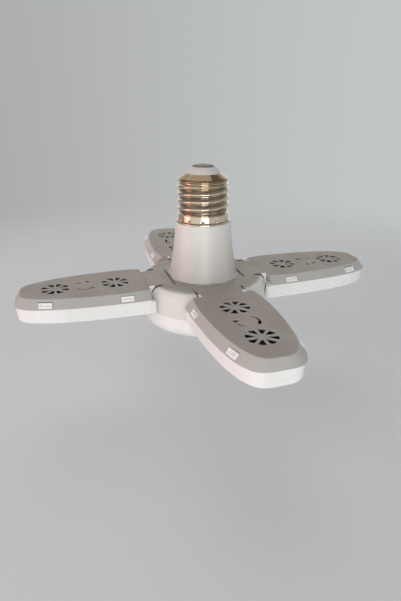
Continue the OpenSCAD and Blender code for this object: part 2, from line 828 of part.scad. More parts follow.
// Chips in two inner rows and two outer rows that follow the flank.
module leaf_chips() {
  first_x = shoulder_x + lens_wall + 4;
  n = floor((tip_x - 10 - first_x) / chip_step);
  for (i = [0 : n])
    for (s = [-1, 1]) {
      x = first_x + i * chip_step;
      y = rim_y(x) - board_inset - chip_w / 2 - 1.2;
      translate([x, s * y, board_z - board_t])
        chip();
      if (y > 10 && i < n)
        translate([x + chip_step / 2, s * y * 0.42, board_z - board_t])
          chip();
    }
}

module leaf_screws() {
  for (x = leaf_screw_x)
    translate([x, 0, board_z - board_t])
      screw(board_t + ceiling_z - board_z - 0.6);
}

// The leaf's lead, from inside one hollow pin to its solder pad on the light board.
module leaf_leads() {
  pin_side_y = tongue_w / 2 - pin_in + 0.8;
  end_x = shoulder_x + lens_wall + 2.4;
  translate([hinge_r, pin_side_y, pivot_z])
    rotate([90, 0, 0])
      run(pin_side_y - 4 - lead_bend);
  translate([hinge_r + lead_bend, 4 + lead_bend, pivot_z])
    rotate([0, 0, 90])
      bend();
  translate([hinge_r + lead_bend, 4, pivot_z])
    rotate([0, 90, 0])
      run(end_x - hinge_r - lead_bend);
  translate([end_x - 1, 4 - lead_d / 2 - 0.2, board_z])
    cube([2, lead_d + 0.4, pivot_z - board_z]);
}

module cover_at(i) { color("tan") at_leaf(i) cover(); }
module lens_at(i) { color("white") at_leaf(i) lens(); }
module board_at(i) { color("gainsboro") at_leaf(i) leaf_board(); }
module chips_at(i) { color("khaki") at_leaf(i) leaf_chips(); }
module screws_at(i) { color("gray") at_leaf(i) leaf_screws(); }
module leads_at(i) { color("firebrick") at_leaf(i) leaf_leads(); }

// ---------- The lamp ----------

contact_button();
cap_insulator();
screw_shell();
cap_leads();
housing();
base_plate();
hub_screws();
hinge_pins();
friction_washers();
hub_leads();
driver_board();
driver_capacitor();
driver_transformer();
centre_board();
centre_chips();
centre_diffuser();
cover_at(RIGHT);  // cover_right
cover_at(BACK);  // cover_back
cover_at(LEFT);  // cover_left
cover_at(FRONT);  // cover_front
lens_at(RIGHT);  // lens_right
lens_at(BACK);  // lens_back
lens_at(LEFT);  // lens_left
lens_at(FRONT);  // lens_front
board_at(RIGHT);  // board_right
board_at(BACK);  // board_back
board_at(LEFT);  // board_left
board_at(FRONT);  // board_front
chips_at(RIGHT);  // chips_right
chips_at(BACK);  // chips_back
chips_at(LEFT);  // chips_left
chips_at(FRONT);  // chips_front
screws_at(RIGHT);  // screws_right
screws_at(BACK);  // screws_back
screws_at(LEFT);  // screws_left
screws_at(FRONT);  // screws_front
leads_at(RIGHT);  // leads_right
leads_at(BACK);  // leads_back
leads_at(LEFT);  // leads_left
leads_at(FRONT);  // leads_front
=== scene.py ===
"""Deformable garage light: its surfaces, finishes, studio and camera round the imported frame.

Four light leaves are hinged round a drum that hangs under a screw cap. Every size in the
classes is in millimetres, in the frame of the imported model, and a piece is brought to metres
when it is finished. Each leaf is modelled along +X and then turned to its own side.
"""

import logging
import math
from dataclasses import dataclass, field
from enum import Enum
from typing import Callable, Sequence

import bmesh
import bpy
from mathutils import Matrix, Vector


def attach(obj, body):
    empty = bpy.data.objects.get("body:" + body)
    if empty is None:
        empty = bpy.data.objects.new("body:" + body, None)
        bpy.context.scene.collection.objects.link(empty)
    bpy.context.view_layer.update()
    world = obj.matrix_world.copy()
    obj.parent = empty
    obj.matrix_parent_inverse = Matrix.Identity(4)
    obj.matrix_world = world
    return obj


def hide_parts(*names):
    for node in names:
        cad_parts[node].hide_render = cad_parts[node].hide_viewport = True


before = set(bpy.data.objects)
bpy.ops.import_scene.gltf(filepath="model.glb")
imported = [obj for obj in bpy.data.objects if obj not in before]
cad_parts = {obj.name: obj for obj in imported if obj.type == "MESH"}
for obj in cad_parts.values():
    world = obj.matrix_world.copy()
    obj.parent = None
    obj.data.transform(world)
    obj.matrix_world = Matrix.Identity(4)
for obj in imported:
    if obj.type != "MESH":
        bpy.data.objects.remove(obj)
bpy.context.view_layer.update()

LOG = logging.getLogger("garage_light")
MM = 0.001
TURN = 2 * math.pi

Point = tuple[float, float]
Colour = tuple[float, float, float, float]


# ---------- Choices ----------


class Cut(Enum):
    """What a tool solid does to the solid it meets."""

    AWAY = "DIFFERENCE"
    ONTO = "UNION"


class Side(Enum):
    """The four leaves, with their turn about the lamp's axis in degrees."""

    RIGHT = 0
    BACK = 90
    LEFT = 180
    FRONT = 270

    @property
    def word(self) -> str:
        """The side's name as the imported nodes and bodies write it."""
        return self.name.lower()


# ---------- Mesh bench ----------


def srgb(red: int, green: int, blue: int) -> Colour:
    """Turns a display colour into a scene-linear one.

    Args:
        red: Red from 0 to 255.
        green: Green from 0 to 255.
        blue: Blue from 0 to 255.

    Returns:
        The linear colour with full alpha.
    """
    shares = (red / 255, green / 255, blue / 255)
    linear = [c / 12.92 if c <= 0.04045 else ((c + 0.055) / 1.055) ** 2.4 for c in shares]
    return (linear[0], linear[1], linear[2], 1.0)


def rounded(corners: Sequence[tuple[float, float, float]], segments: int = 5) -> list[Point]:
    """Rounds the corners of an open flat profile.

    Args:
        corners: Points with the radius of the arc at each.
        segments: Steps in each arc.

    Returns:
        The profile's points with its arcs.
    """
    made: list[Point] = []
    count = len(corners)
    for i, (x, z, radius) in enumerate(corners):
        if radius <= 0 or i in (0, count - 1):
            made.append((x, z))
            continue
        here = Vector((x, z))
        back = (Vector(corners[i - 1][:2]) - here).normalized()
        ahead = (Vector(corners[i + 1][:2]) - here).normalized()
        half = back.angle(ahead) / 2
        centre = here + (back + ahead).normalized() * (radius / math.sin(half))
        start = here + back * (radius / math.tan(half)) - centre
        end = here + ahead * (radius / math.tan(half)) - centre
        sweep = start.angle(end)
        for k in range(segments + 1):
            share = k / segments
            arm = (
                start * math.sin((1 - share) * sweep) + end * math.sin(share * sweep)
            ) / math.sin(sweep)
            made.append((centre.x + arm.x, centre.y + arm.y))
    return made


def arc(x: float, z: float, radius: float, start: float, end: float, steps: int = 8) -> list[Point]:
    """Points of an arc about (x, z), from angle start to angle end in degrees."""
    angles = [math.radians(start + (end - start) * k / steps) for k in range(steps + 1)]
    return [(x + radius * math.cos(a), z + radius * math.sin(a)) for a in angles]


def grown(points: Sequence[Point], amount: float) -> list[Point]:
    """Moves an anticlockwise outline outwards along its corners' bisectors.

    Args:
        points: The outline.
        amount: How far its sides move.

    Returns:
        The wider outline, with as many points.
    """
    made: list[Point] = []
    for i, here in enumerate(points):
        into = (Vector(here) - Vector(points[i - 1])).normalized()
        out = (Vector(points[(i + 1) % len(points)]) - Vector(here)).normalized()
        normal = Vector((into.y + out.y, -into.x - out.x)).normalized()
        reach = amount / max(0.5, normal.dot(Vector((into.y, -into.x))))
        made.append((here[0] + normal.x * reach, here[1] + normal.y * reach))
    return made


def turned(profile: Sequence[Point], steps: int = 128, closed: bool = False) -> bmesh.types.BMesh:
    """Spins a profile round the lamp's axis.

    Args:
        profile: Points as radius and height.
        steps: Faces round the axis.
        closed: Whether the profile is a closed ring's section.

    Returns:
        The turned mesh, with its poles closed and its faces outwards.
    """
    bm = bmesh.new()
    verts = [bm.verts.new((x, 0, z)) for x, z in profile]
    edges = [bm.edges.new(pair) for pair in zip(verts, verts[1:])]
    if closed:
        edges.append(bm.edges.new((verts[-1], verts[0])))
    bmesh.ops.spin(
        bm, geom=verts + edges, cent=(0, 0, 0), axis=(0, 0, 1), angle=TURN, steps=steps,
        use_merge=True
    )
    bmesh.ops.remove_doubles(bm, verts=bm.verts, dist=1e-4)
    bmesh.ops.recalc_face_normals(bm, faces=bm.faces)
    return bm


def stacked(rings: Sequence[tuple[float, Sequence[Point]]]) -> bmesh.types.BMesh:
    """Bridges outlines that lie one above the other and closes both ends.

    Args:
        rings: Each outline with its height.

    Returns:
        The closed solid.
    """
    bm = bmesh.new()
    loops: list[list[bmesh.types.BMEdge]] = []
    for number, (height, points) in enumerate(rings):
        verts = [bm.verts.new((x, y, height)) for x, y in points]
        loops.append([bm.edges.new(pair) for pair in zip(verts, verts[1:] + verts[:1])])
        if number in (0, len(rings) - 1):
            bm.faces.new(verts)
    for upper, lower in zip(loops, loops[1:]):
        bmesh.ops.bridge_loops(bm, edges=upper + lower)
    bmesh.ops.recalc_face_normals(bm, faces=bm.faces)
    return bm


def pushed(points: Sequence[Point], start: float, end: float) -> bmesh.types.BMesh:
    """Extrudes an outline in the XZ plane along Y.

    Args:
        points: The outline as x and z.
        start: Where it starts along Y.
        end: Where it ends along Y.

    Returns:
        The closed solid.
    """
    bm = bmesh.new()
    face = bm.faces.new([bm.verts.new((x, start, z)) for x, z in points])
    made = bmesh.ops.extrude_face_region(bm, geom=[face], use_keep_orig=True)
    moved = [v for v in made["geom"] if isinstance(v, bmesh.types.BMVert)]
    bmesh.ops.translate(bm, verts=moved, vec=(0, end - start, 0))
    bmesh.ops.recalc_face_normals(bm, faces=bm.faces)
    return bm


def block(low: Sequence[float], high: Sequence[float]) -> bmesh.types.BMesh:
    """A plain block between two corners, as a tool or as part of a moulding."""
    bm = bmesh.new()
    centre = [(a + b) / 2 for a, b in zip(low, high)]
    spread = [b - a for a, b in zip(low, high)]
    bmesh.ops.create_cube(
        bm, size=1, matrix=Matrix.Translation(centre) @ Matrix.Diagonal((*spread, 1))
    )
    return bm


def rod(
    start: Sequence[float], end: Sequence[float], diameter: float, sides: int = 48
) -> bmesh.types.BMesh:
    """A closed cylinder from one point to another."""
    bm = bmesh.new()
    a, b = Vector(start), Vector(end)
    turn = (b - a).to_track_quat("Z", "Y").to_matrix().to_4x4()
    bmesh.ops.create_cone(
        bm, cap_ends=True, segments=sides, radius1=diameter / 2, radius2=diameter / 2,
        depth=(b - a).length,
        matrix=Matrix.Translation((a + b) / 2) @ turn,
    )
    return bm


def gathered(parts: Sequence[bmesh.types.BMesh]) -> bmesh.types.BMesh:
    """Puts several meshes into one and frees them."""
    whole = bmesh.new()
    for part in parts:
        mesh = bpy.data.meshes.new("part")
        part.to_mesh(mesh)
        part.free()
        whole.from_mesh(mesh)
        bpy.data.meshes.remove(mesh)
    return whole


def worked(base: bmesh.types.BMesh, tool: bmesh.types.BMesh, how: Cut) -> bmesh.types.BMesh:
    """Works one closed solid with another and frees both.

    Args:
        base: The solid that is worked.
        tool: The solid that is taken away or put on.
        how: Which of the two.

    Returns:
        The new solid.
    """
    objects = []
    for source in (base, tool):
        mesh = bpy.data.meshes.new("solid")
        source.to_mesh(mesh)
        source.free()
        thing = bpy.data.objects.new("solid", mesh)
        bpy.context.scene.collection.objects.link(thing)
        objects.append(thing)
    body, knife = objects
    step = body.modifiers.new("work", "BOOLEAN")
    step.operation, step.solver, step.object, step.use_self = how.value, "EXACT", knife, True
    result = bpy.data.meshes.new_from_object(
        body.evaluated_get(bpy.context.evaluated_depsgraph_get())
    )
    made = bmesh.new()
    made.from_mesh(result)
    for thing in objects:
        mesh = thing.data
        bpy.data.objects.remove(thing)
        bpy.data.meshes.remove(mesh)
    bpy.data.meshes.remove(result)
    bmesh.ops.remove_doubles(made, verts=made.verts, dist=1e-4)
    bmesh.ops.dissolve_limit(
        made, angle_limit=math.radians(0.1), verts=made.verts, edges=made.edges
    )
    return made


def eased(
    bm: bmesh.types.BMesh, width: float, chosen: Callable[[bmesh.types.BMEdge], bool],
    segments: int = 3, angle: float = 35
) -> None:
    """Rounds the sharp edges that a test chooses, and marks the new strips as rubbed edges that
    take a painted highlight.

    Args:
        bm: The mesh.
        width: Width of the round on each side of the edge.
        chosen: The test on an edge.
        segments: Steps in the round.
        angle: Edges less sharp than this many degrees are left alone.
    """
    layer = bm.faces.layers.float.get("edge") or bm.faces.layers.float.new("edge")
    sharp = [
        e
        for e in bm.edges if len(
            e.link_faces
        ) == 2 and e.calc_face_angle(0) > math.radians(angle) and chosen(e)
    ]
    made = bmesh.ops.bevel(
        bm, geom=sharp, offset=width, offset_type="OFFSET", segments=segments, profile=0.5,
        affect="EDGES", clamp_overlap=True, material=-1,
    )
    for face in made["faces"]:
        face[layer] = 1.0


def middle(edge: bmesh.types.BMEdge) -> Vector:
    """The middle of an edge."""
    return (edge.verts[0].co + edge.verts[1].co) / 2


@dataclass(frozen=True)
class Piece:
    """What a finished piece is called, what it rides on and what it stands for."""

    name: str
    body: str
    slot: str
    stands_for: tuple[str, ...] = ()
    turn: float = 0.0
    sharp: float = 32.0

    def finish(self, bm: bmesh.types.BMesh, material: bpy.types.Material) -> bpy.types.Object:
        """Makes the object of a mesh in millimetres.

        Args:
            bm: The mesh, which is freed.
            material: Its finish.

        Returns:
            The object, at the origin, unturned and unscaled.
        """
        place = Matrix.Rotation(math.radians(self.turn), 4, "Z") @ Matrix.Scale(MM, 4)
        bmesh.ops.transform(bm, matrix=place, verts=bm.verts)
        for face in bm.faces:
            face.smooth = True
        mesh = bpy.data.meshes.new(self.name)
        bm.to_mesh(mesh)
        bm.free()
        mesh.set_sharp_from_angle(angle=math.radians(self.sharp))
        mesh.materials.append(material)
        thing = bpy.data.objects.new(self.name, mesh)
        bpy.context.scene.collection.objects.link(thing)
        even = thing.modifiers.new("even_shading", "WEIGHTED_NORMAL")
        even.keep_sharp = True
        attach(thing, self.body)
        if self.stands_for:
            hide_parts(*self.stands_for)
        LOG.info("%s: %d faces on %s", self.name, len(mesh.polygons), self.body)
        return thing


# ---------- Node bench ----------


class NodeBench:
    """Lays and wires the nodes of one tree."""

    def __init__(self, tree: bpy.types.NodeTree) -> None:
        """Keeps the tree that the nodes go into."""
        self.tree = tree

    def lay(self, kind: str, **values: object) -> bpy.types.Node:
        """Adds a node and sets its properties.

        Args:
            kind: The node's type.
            **values: Properties of the node.

        Returns:
            The node.
        """
        node = self.tree.nodes.new(kind)
        for key, value in values.items():
            setattr(node, key, value)
        return node

    def wire(self, source: bpy.types.NodeSocket, target: bpy.types.NodeSocket) -> None:
        """Joins an output to an input."""
        self.tree.links.new(source, target)

    def feed(self, target: bpy.types.NodeSocket, value: object) -> None:
        """Sets an input to a number or a colour, or joins it to an output."""
        if isinstance(value, bpy.types.NodeSocket):
            self.wire(value, target)
        else:
            target.default_value = value

    def math(
        self, kind: str, first: object, second: object = 0.0, clamp: bool = False
    ) -> bpy.types.NodeSocket:
        """The result of a Math node on two numbers or outputs."""
        node = self.lay("ShaderNodeMath", operation=kind, use_clamp=clamp)
        self.feed(node.inputs[0], first)
        self.feed(node.inputs[1], second)
        return node.outputs[0]

    def spread(
        self, value: object, low: float, high: float, to_low: float = 0.0, to_high: float = 1.0
    ) -> bpy.types.NodeSocket:
        """A value mapped from one range to another with soft ends."""
        node = self.lay("ShaderNodeMapRange", interpolation_type="SMOOTHSTEP")
        for socket, number in zip(node.inputs, (value, low, high, to_low, to_high)):
            self.feed(socket, number)
        return node.outputs[0]

    def mix(self, share: object, first: object, second: object) -> bpy.types.NodeSocket:
        """The colour between two colours."""
        node = self.lay("ShaderNodeMix", data_type="RGBA")
        self.feed(node.inputs[0], share)
        self.feed(node.inputs[6], first)
        self.feed(node.inputs[7], second)
        return node.outputs[2]

    def cloud(
        self, where: bpy.types.NodeSocket, scale: float, detail: float = 3.0, rough: float = 0.55
    ) -> bpy.types.NodeSocket:
        """Soft noise at a scale in waves per metre."""
        node = self.lay("ShaderNodeTexNoise", noise_dimensions="3D")
        self.wire(where, node.inputs["Vector"])
        node.inputs["Scale"].default_value = scale
        node.inputs["Detail"].default_value = detail
        node.inputs["Roughness"].default_value = rough
        return node.outputs[0]

    def place(self) -> bpy.types.NodeSocket:
        """The point on the piece, in the piece's own coordinates."""
        return self.lay("ShaderNodeTexCoord").outputs["Object"]

    def scaled(self, value: object, factor: float, base: object) -> bpy.types.NodeSocket:
        """A value times a factor, plus a base."""
        result = self.math("MULTIPLY_ADD", value, factor)
        self.feed(result.node.inputs[2], base)
        return result

    def from_axis(self) -> bpy.types.NodeSocket:
        """The point's distance from the lamp's axis, in metres."""
        flat = self.lay("ShaderNodeVectorMath", operation="MULTIPLY")
        self.wire(self.place(), flat.inputs[0])
        flat.inputs[1].default_value = (1, 1, 0)
        away = self.lay("ShaderNodeVectorMath", operation="LENGTH")
        self.wire(flat.outputs[0], away.inputs[0])
        return away.outputs["Value"]

    def facing_up(self) -> bpy.types.NodeSocket:
        """How far the surface faces up on the piece at rest, from -1 to 1."""
        parts = self.lay("ShaderNodeSeparateXYZ")
        self.wire(self.lay("ShaderNodeTexCoord").outputs["Normal"], parts.inputs[0])
        return parts.outputs[2]

    def height(self) -> bpy.types.NodeSocket:
        """The point's height on the piece at rest, in metres."""
        parts = self.lay("ShaderNodeSeparateXYZ")
        self.wire(self.place(), parts.inputs[0])
        return parts.outputs[2]


class ShopGroups:
    """The shared effects: each is a node group that is built once and placed in each material."""

    def __init__(self) -> None:
        """Starts with no group made."""
        self.made: dict[str, bpy.types.NodeTree] = {}

    def start(
        self, name: str, inputs: dict[str, float], outputs: Sequence[str]
    ) -> tuple[NodeBench, bpy.types.Node, bpy.types.Node]:
        """Opens a new group.

        Args:
            name: The group's name.
            inputs: Its numbers with what they are unless a material says otherwise.
            outputs: The masks and heights that it gives.

        Returns:
            The bench, the group's input node and its output node.
        """
        tree = bpy.data.node_groups.new(name, "ShaderNodeTree")
        for label, number in inputs.items():
            socket = tree.interface.new_socket(
                name=label, in_out="INPUT", socket_type="NodeSocketFloat"
            )
            socket.default_value = number
        for label in outputs:
            tree.interface.new_socket(name=label, in_out="OUTPUT", socket_type="NodeSocketFloat")
        self.made[name] = tree
        bench = NodeBench(tree)
        return bench, bench.lay("NodeGroupInput"), bench.lay("NodeGroupOutput")

    def moulded_skin(self) -> bpy.types.NodeTree:
        """The fine eroded grain of a mould, and broad flow marks in the plastic."""
        bench, given, result = self.start(
            "moulded_skin", {"Grain": 1.0, "Flow": 1.0}, ("Height", "Flow")
        )
        place = bench.place()
        fine = bench.cloud(place, 5200, 2.0)
        coarse = bench.cloud(place, 1300, 3.0)
        grain = bench.scaled(coarse, 0.5, fine)
        bench.wire(bench.math("MULTIPLY", grain, given.outputs["Grain"]), result.inputs["Height"])
        stretch = bench.lay("ShaderNodeMapping", vector_type="POINT")
        stretch.inputs["Scale"].default_value = (1.0, 1.0, 0.35)
        bench.wire(place, stretch.inputs["Vector"])
        flow = bench.spread(bench.cloud(stretch.outputs[0], 55, 4.0, 0.6), 0.38, 0.66)
        bench.wire(bench.math("MULTIPLY", flow, given.outputs["Flow"]), result.inputs["Flow"])
        return bench.tree

    def painted_top_shade(self) -> bpy.types.NodeTree:
        """Painted shade that darkens what faces up, broken up by noise."""
        bench, given, result = self.start("painted_top_shade", {"Amount": 0.5, "Steep": 0.8}, ("Mask",))
        lying = bench.spread(bench.facing_up(), 0.5, 1.0)
        bench.wire(given.outputs["Steep"], lying.node.inputs[1])
        patchy = bench.spread(bench.cloud(bench.place(), 95, 5.0, 0.62), 0.2, 0.75, 0.72, 1.0)
        both = bench.math("MULTIPLY", lying, patchy)
        bench.wire(
            bench.math("MULTIPLY", both, given.outputs["Amount"], clamp=True), result.inputs["Mask"]
        )
        return bench.tree

    def worn_and_highlit_edges(self) -> bpy.types.NodeTree:
        """Rubbed edges with a painted highlight: the strips that the mesh marks, broken up by
        noise.
        """
        bench, given, result = self.start("worn_and_highlit_edges", {"Amount": 0.5}, ("Mask",))
        strip = bench.lay(
            "ShaderNodeAttribute", attribute_type="GEOMETRY", attribute_name="edge"
        ).outputs["Fac"]
        broken = bench.spread(bench.cloud(bench.place(), 420, 4.0, 0.7), 0.35, 0.6, 0.35, 1.0)
        both = bench.math("MULTIPLY", strip, broken)
        bench.wire(
            bench.math("MULTIPLY", both, given.outputs["Amount"], clamp=True), result.inputs["Mask"]
        )
        return bench.tree

    def smudges(self) -> bpy.types.NodeTree:
        """Finger marks and faint rubbing that change the gloss."""
        bench, given, result = self.start("smudges", {"Amount": 0.5}, ("Mask",))
        place = bench.place()
        broad = bench.spread(bench.cloud(place, 38, 3.0, 0.5), 0.42, 0.62)
        lines = bench.lay("ShaderNodeTexWave", wave_type="BANDS", bands_direction="DIAGONAL")
        bench.wire(place, lines.inputs["Vector"])
        lines.inputs["Scale"].default_value = 900
        lines.inputs["Distortion"].default_value = 14
        lines.inputs["Detail"].default_value = 3
        fine = bench.spread(lines.outputs["Fac"], 0.55, 0.95)
        both = bench.math("MULTIPLY", broad, bench.scaled(fine, 0.4, 0.6))
        bench.wire(
            bench.math("MULTIPLY", both, given.outputs["Amount"], clamp=True), result.inputs["Mask"]
        )
        return bench.tree

    def specks(self) -> bpy.types.NodeTree:
        """Small separate specks, as in a casting, a lacquer or a pressed board."""
        bench, given, result = self.start("specks", {"Scale": 900.0, "Amount": 0.5}, ("Mask",))
        cells = bench.lay("ShaderNodeTexVoronoi", feature="F1")
        bench.wire(bench.place(), cells.inputs["Vector"])
        bench.wire(given.outputs["Scale"], cells.inputs["Scale"])
        dots = bench.spread(cells.outputs["Distance"], 0.08, 0.26, 1.0, 0.0)
        bench.wire(
            bench.math("MULTIPLY", dots, given.outputs["Amount"], clamp=True), result.inputs["Mask"]
        )
        return bench.tree

    def get(self, name: str) -> bpy.types.NodeTree:
        """The group with that name, built when it is first asked for."""
        return self.made.get(name) or getattr(self, name)()


GROUPS = ShopGroups()


# ---------- Finishes ----------


@dataclass(frozen=True)
class Finish:
    """A finish with its slot in the record. A kind of finish adds its own nodes in dress()."""

    slot: str
    colour: Colour
    roughness: float = 0.4
    metallic: float = 0.0

    def group(self, bench: NodeBench, name: str, **values: float) -> bpy.types.Node:
        """Places a shared effect with this finish's own numbers."""
        node = bench.lay("ShaderNodeGroup", node_tree=GROUPS.get(name))
        for label, number in values.items():
            node.inputs[label].default_value = number
        return node

    def bump(
        self, bench: NodeBench, shader: bpy.types.Node, height: bpy.types.NodeSocket, depth: float,
        strength: float = 1.0
    ) -> None:
        """Raises the surface by a height mask.

        Args:
            bench: The material's bench.
            shader: The Principled shader.
            height: The mask.
            depth: Its depth in metres.
            strength: How strongly it shows.
        """
        node = bench.lay("ShaderNodeBump")
        node.inputs["Strength"].default_value = strength
        node.inputs["Distance"].default_value = depth
        bench.wire(height, node.inputs["Height"])
        bench.wire(node.outputs["Normal"], shader.inputs["Normal"])

    def dress(self, bench: NodeBench, shader: bpy.types.Node) -> None:
        """Adds what the kind of finish shows."""

    def material(self) -> bpy.types.Material:
        """Builds the material.

        Returns:
            The material, named after its slot.
        """
        made = bpy.data.materials.new(self.slot)
        made.use_nodes = True
        shader = made.node_tree.nodes["Principled BSDF"]
        shader.inputs["Base Color"].default_value = self.colour
        shader.inputs["Roughness"].default_value = self.roughness
        shader.inputs["Metallic"].default_value = self.metallic
        made.diffuse_color = self.colour
        self.dress(NodeBench(made.node_tree), shader)
        return made


@dataclass(frozen=True)
class MouldedPlastic(Finish):
    """Injection-moulded plastic: skin grain, flow marks, painted shade on top and at the foot,
    rubbed edges with a painted highlight.
    """

    # Colour of the painted shade, on what faces up and at the foot.
    shade_colour: Colour = srgb(126, 121, 108)
    flow: Colour = srgb(190, 184, 174)
    # Lighter colour of the rubbed edges, which is also a painted highlight.
    worn_highlight: Colour = srgb(226, 222, 214)
    flow_share: float = 0.22
    # Strength of the painted shade on what faces up; steep sets how far up a face must look.
    top_shade: float = 0.6
    steep: float = 0.8
    # Strength of the rubbed edges' lighter colour and painted highlight.
    wear_and_highlight: float = 0.4
    grain: float = 0.6
    # Band of painted shade towards the neck's foot: its low and high levels in metres and its
    # strength.
    foot: tuple[float, float, float] | None = None

    def dress(self, bench: NodeBench, shader: bpy.types.Node) -> None:
        """Layers flow marks, painted shade at the foot and on what faces up, and rubbed edges with
        a painted highlight over the plastic's colour.
        """
        skin = self.group(bench, "moulded_skin", Grain=self.grain, Flow=self.flow_share)
        top_shade = self.group(bench, "painted_top_shade", Amount=self.top_shade, Steep=self.steep)
        wear_and_highlight = self.group(bench, "worn_and_highlit_edges", Amount=self.wear_and_highlight)
        smear = self.group(bench, "smudges", Amount=0.5)
        colour = bench.mix(skin.outputs["Flow"], self.colour, self.flow)
        # Painted shade: the neck darkens downwards from the high level to the low one, with noise,
        # and stops below it.
        if self.foot:
            low, high, amount = self.foot
            above = bench.spread(bench.height(), low, high, 1.0, 0.0)
            start = bench.spread(bench.height(), low - 0.0008, low, 0.0, 1.0)
            fall = bench.math("MULTIPLY", above, start)
            shade = bench.math("MULTIPLY", fall, amount)
            uneven = bench.spread(bench.cloud(bench.place(), 60, 4.0, 0.6), 0.2, 0.8, 0.75, 1.0)
            colour = bench.mix(bench.math("MULTIPLY", shade, uneven), colour, self.shade_colour)
        # Painted shade: what faces up is darkened, in patches, and the same mask roughens the
        # gloss.
        colour = bench.mix(top_shade.outputs["Mask"], colour, self.shade_colour)
        # Painted highlight and rubbing: the marked edge strips are lightened.
        colour = bench.mix(wear_and_highlight.outputs["Mask"], colour, self.worn_highlight)
        bench.wire(colour, shader.inputs["Base Color"])
        gloss = bench.scaled(smear.outputs["Mask"], 0.12, self.roughness)
        bench.wire(bench.scaled(top_shade.outputs["Mask"], 0.14, gloss), shader.inputs["Roughness"])
        self.bump(bench, shader, skin.outputs["Height"], 0.00003, 0.5)


@dataclass(frozen=True)
class MilkyPlastic(Finish):
    """Opal diffuser plastic: softly glossy, faintly cloudy, with a painted highlight along its
    lower edge.
    """

    cloudy: Colour = srgb(236, 235, 231)
    # Lighter colour of the rubbed edges, which is also a painted highlight.
    worn_highlight: Colour = srgb(249, 249, 247)
    # Colour and levels of the painted highlight along the lower edge.
    lower_edge_highlight: Colour = srgb(254, 254, 253)
    lower_edge_levels: tuple[float, float] = (-0.0697, -0.0674)
    gate: tuple[float, float, float] = (-0.0187, -0.0742, -0.0672)
    gate_colour: Colour = srgb(176, 150, 112)

    def dress(self, bench: NodeBench, shader: bpy.types.Node) -> None:
        """Clouds the white, paints a highlight along the lower edge, marks the gate and varies the
        gloss.
        """
        skin = self.group(bench, "moulded_skin", Grain=0.15, Flow=0.45)
        wear_and_highlight = self.group(bench, "worn_and_highlit_edges", Amount=0.5)
        smear = self.group(bench, "smudges", Amount=0.6)
        colour = bench.mix(skin.outputs["Flow"], self.colour, self.cloudy)
        # Painted highlight: the colour lightens towards the lower edge.
        low, high = self.lower_edge_levels
        colour = bench.mix(bench.spread(bench.height(), low, high, 0.9, 0.0), colour, self.lower_edge_highlight)
        reach = bench.lay("ShaderNodeVectorMath", operation="DISTANCE")
        bench.wire(bench.place(), reach.inputs[0])
        reach.inputs[1].default_value = self.gate
        colour = bench.mix(
            bench.spread(reach.outputs["Value"], 0.0006, 0.0011, 0.85, 0.0), colour,
            self.gate_colour
        )
        # Painted highlight and rubbing: the marked edge strips are lightened.
        bench.wire(bench.mix(wear_and_highlight.outputs["Mask"], colour, self.worn_highlight), shader.inputs["Base Color"])
        bench.wire(
            bench.scaled(smear.outputs["Mask"], 0.16, self.roughness), shader.inputs["Roughness"]
        )
        self.bump(bench, shader, skin.outputs["Height"], 0.00002, 0.35)


@dataclass(frozen=True)
class PlatedMetal(Finish):
    """Plated sheet metal: lighter on the crests and darker in the grooves, with painted shade on
    the cone above the thread and fine drawn rings.
    """

    groove_dark: Colour = srgb(48, 38, 30)
    warm: Colour = srgb(214, 190, 162)
    groove_r: float = 0.01215
    crest_r: float = 0.0127
    thread_top: float = -0.0084
    groove_dark_share: float = 0.85
    # Colour of the painted shade on the cone above the thread.
    shoulder_shade: Colour = srgb(148, 124, 100)

    def dress(self, bench: NodeBench, shader: bpy.types.Node) -> None:
        """Darkens by the distance from the axis, warms in patches, paints shade on the cone above
        the thread and draws the rings.
        """
        # Darker in the thread's grooves, by the distance from the axis, in patches.
        deep = bench.spread(bench.from_axis(), self.groove_r, self.crest_r, 1.0, 0.0)
        spotty = bench.spread(bench.cloud(bench.place(), 260, 5.0, 0.65), 0.3, 0.7, 0.6, 1.0)
        threaded = bench.spread(
            bench.height(), self.thread_top - 0.0006, self.thread_top, self.groove_dark_share, 0.0
        )
        dark = bench.math("MULTIPLY", bench.math("MULTIPLY", deep, spotty), threaded, clamp=True)
        patch = bench.spread(bench.cloud(bench.place(), 45, 3.0, 0.5), 0.4, 0.65, 0.0, 0.55)
        smear = self.group(bench, "smudges", Amount=0.8)
        colour = bench.mix(patch, self.colour, self.warm)
        # Painted shade: the up-facing cone above the thread is darkened.
        shoulder = bench.spread(
            bench.height(), self.thread_top, self.thread_top + 0.0008, 0.0, 0.85
        )
        colour = bench.mix(shoulder, colour, self.shoulder_shade)
        bench.wire(bench.mix(dark, colour, self.groove_dark), shader.inputs["Base Color"])
        gloss = bench.scaled(smear.outputs["Mask"], 0.14, self.roughness)
        bench.wire(bench.scaled(dark, 0.2, gloss), shader.inputs["Roughness"])
        rings = bench.lay("ShaderNodeTexWave", wave_type="BANDS", bands_direction="Z")
        bench.wire(bench.place(), rings.inputs["Vector"])
        rings.inputs["Scale"].default_value = 1800
        rings.inputs["Distortion"].default_value = 1.5
        rings.inputs["Detail"].default_value = 2
        self.bump(bench, shader, rings.outputs["Fac"], 0.000004, 0.35)


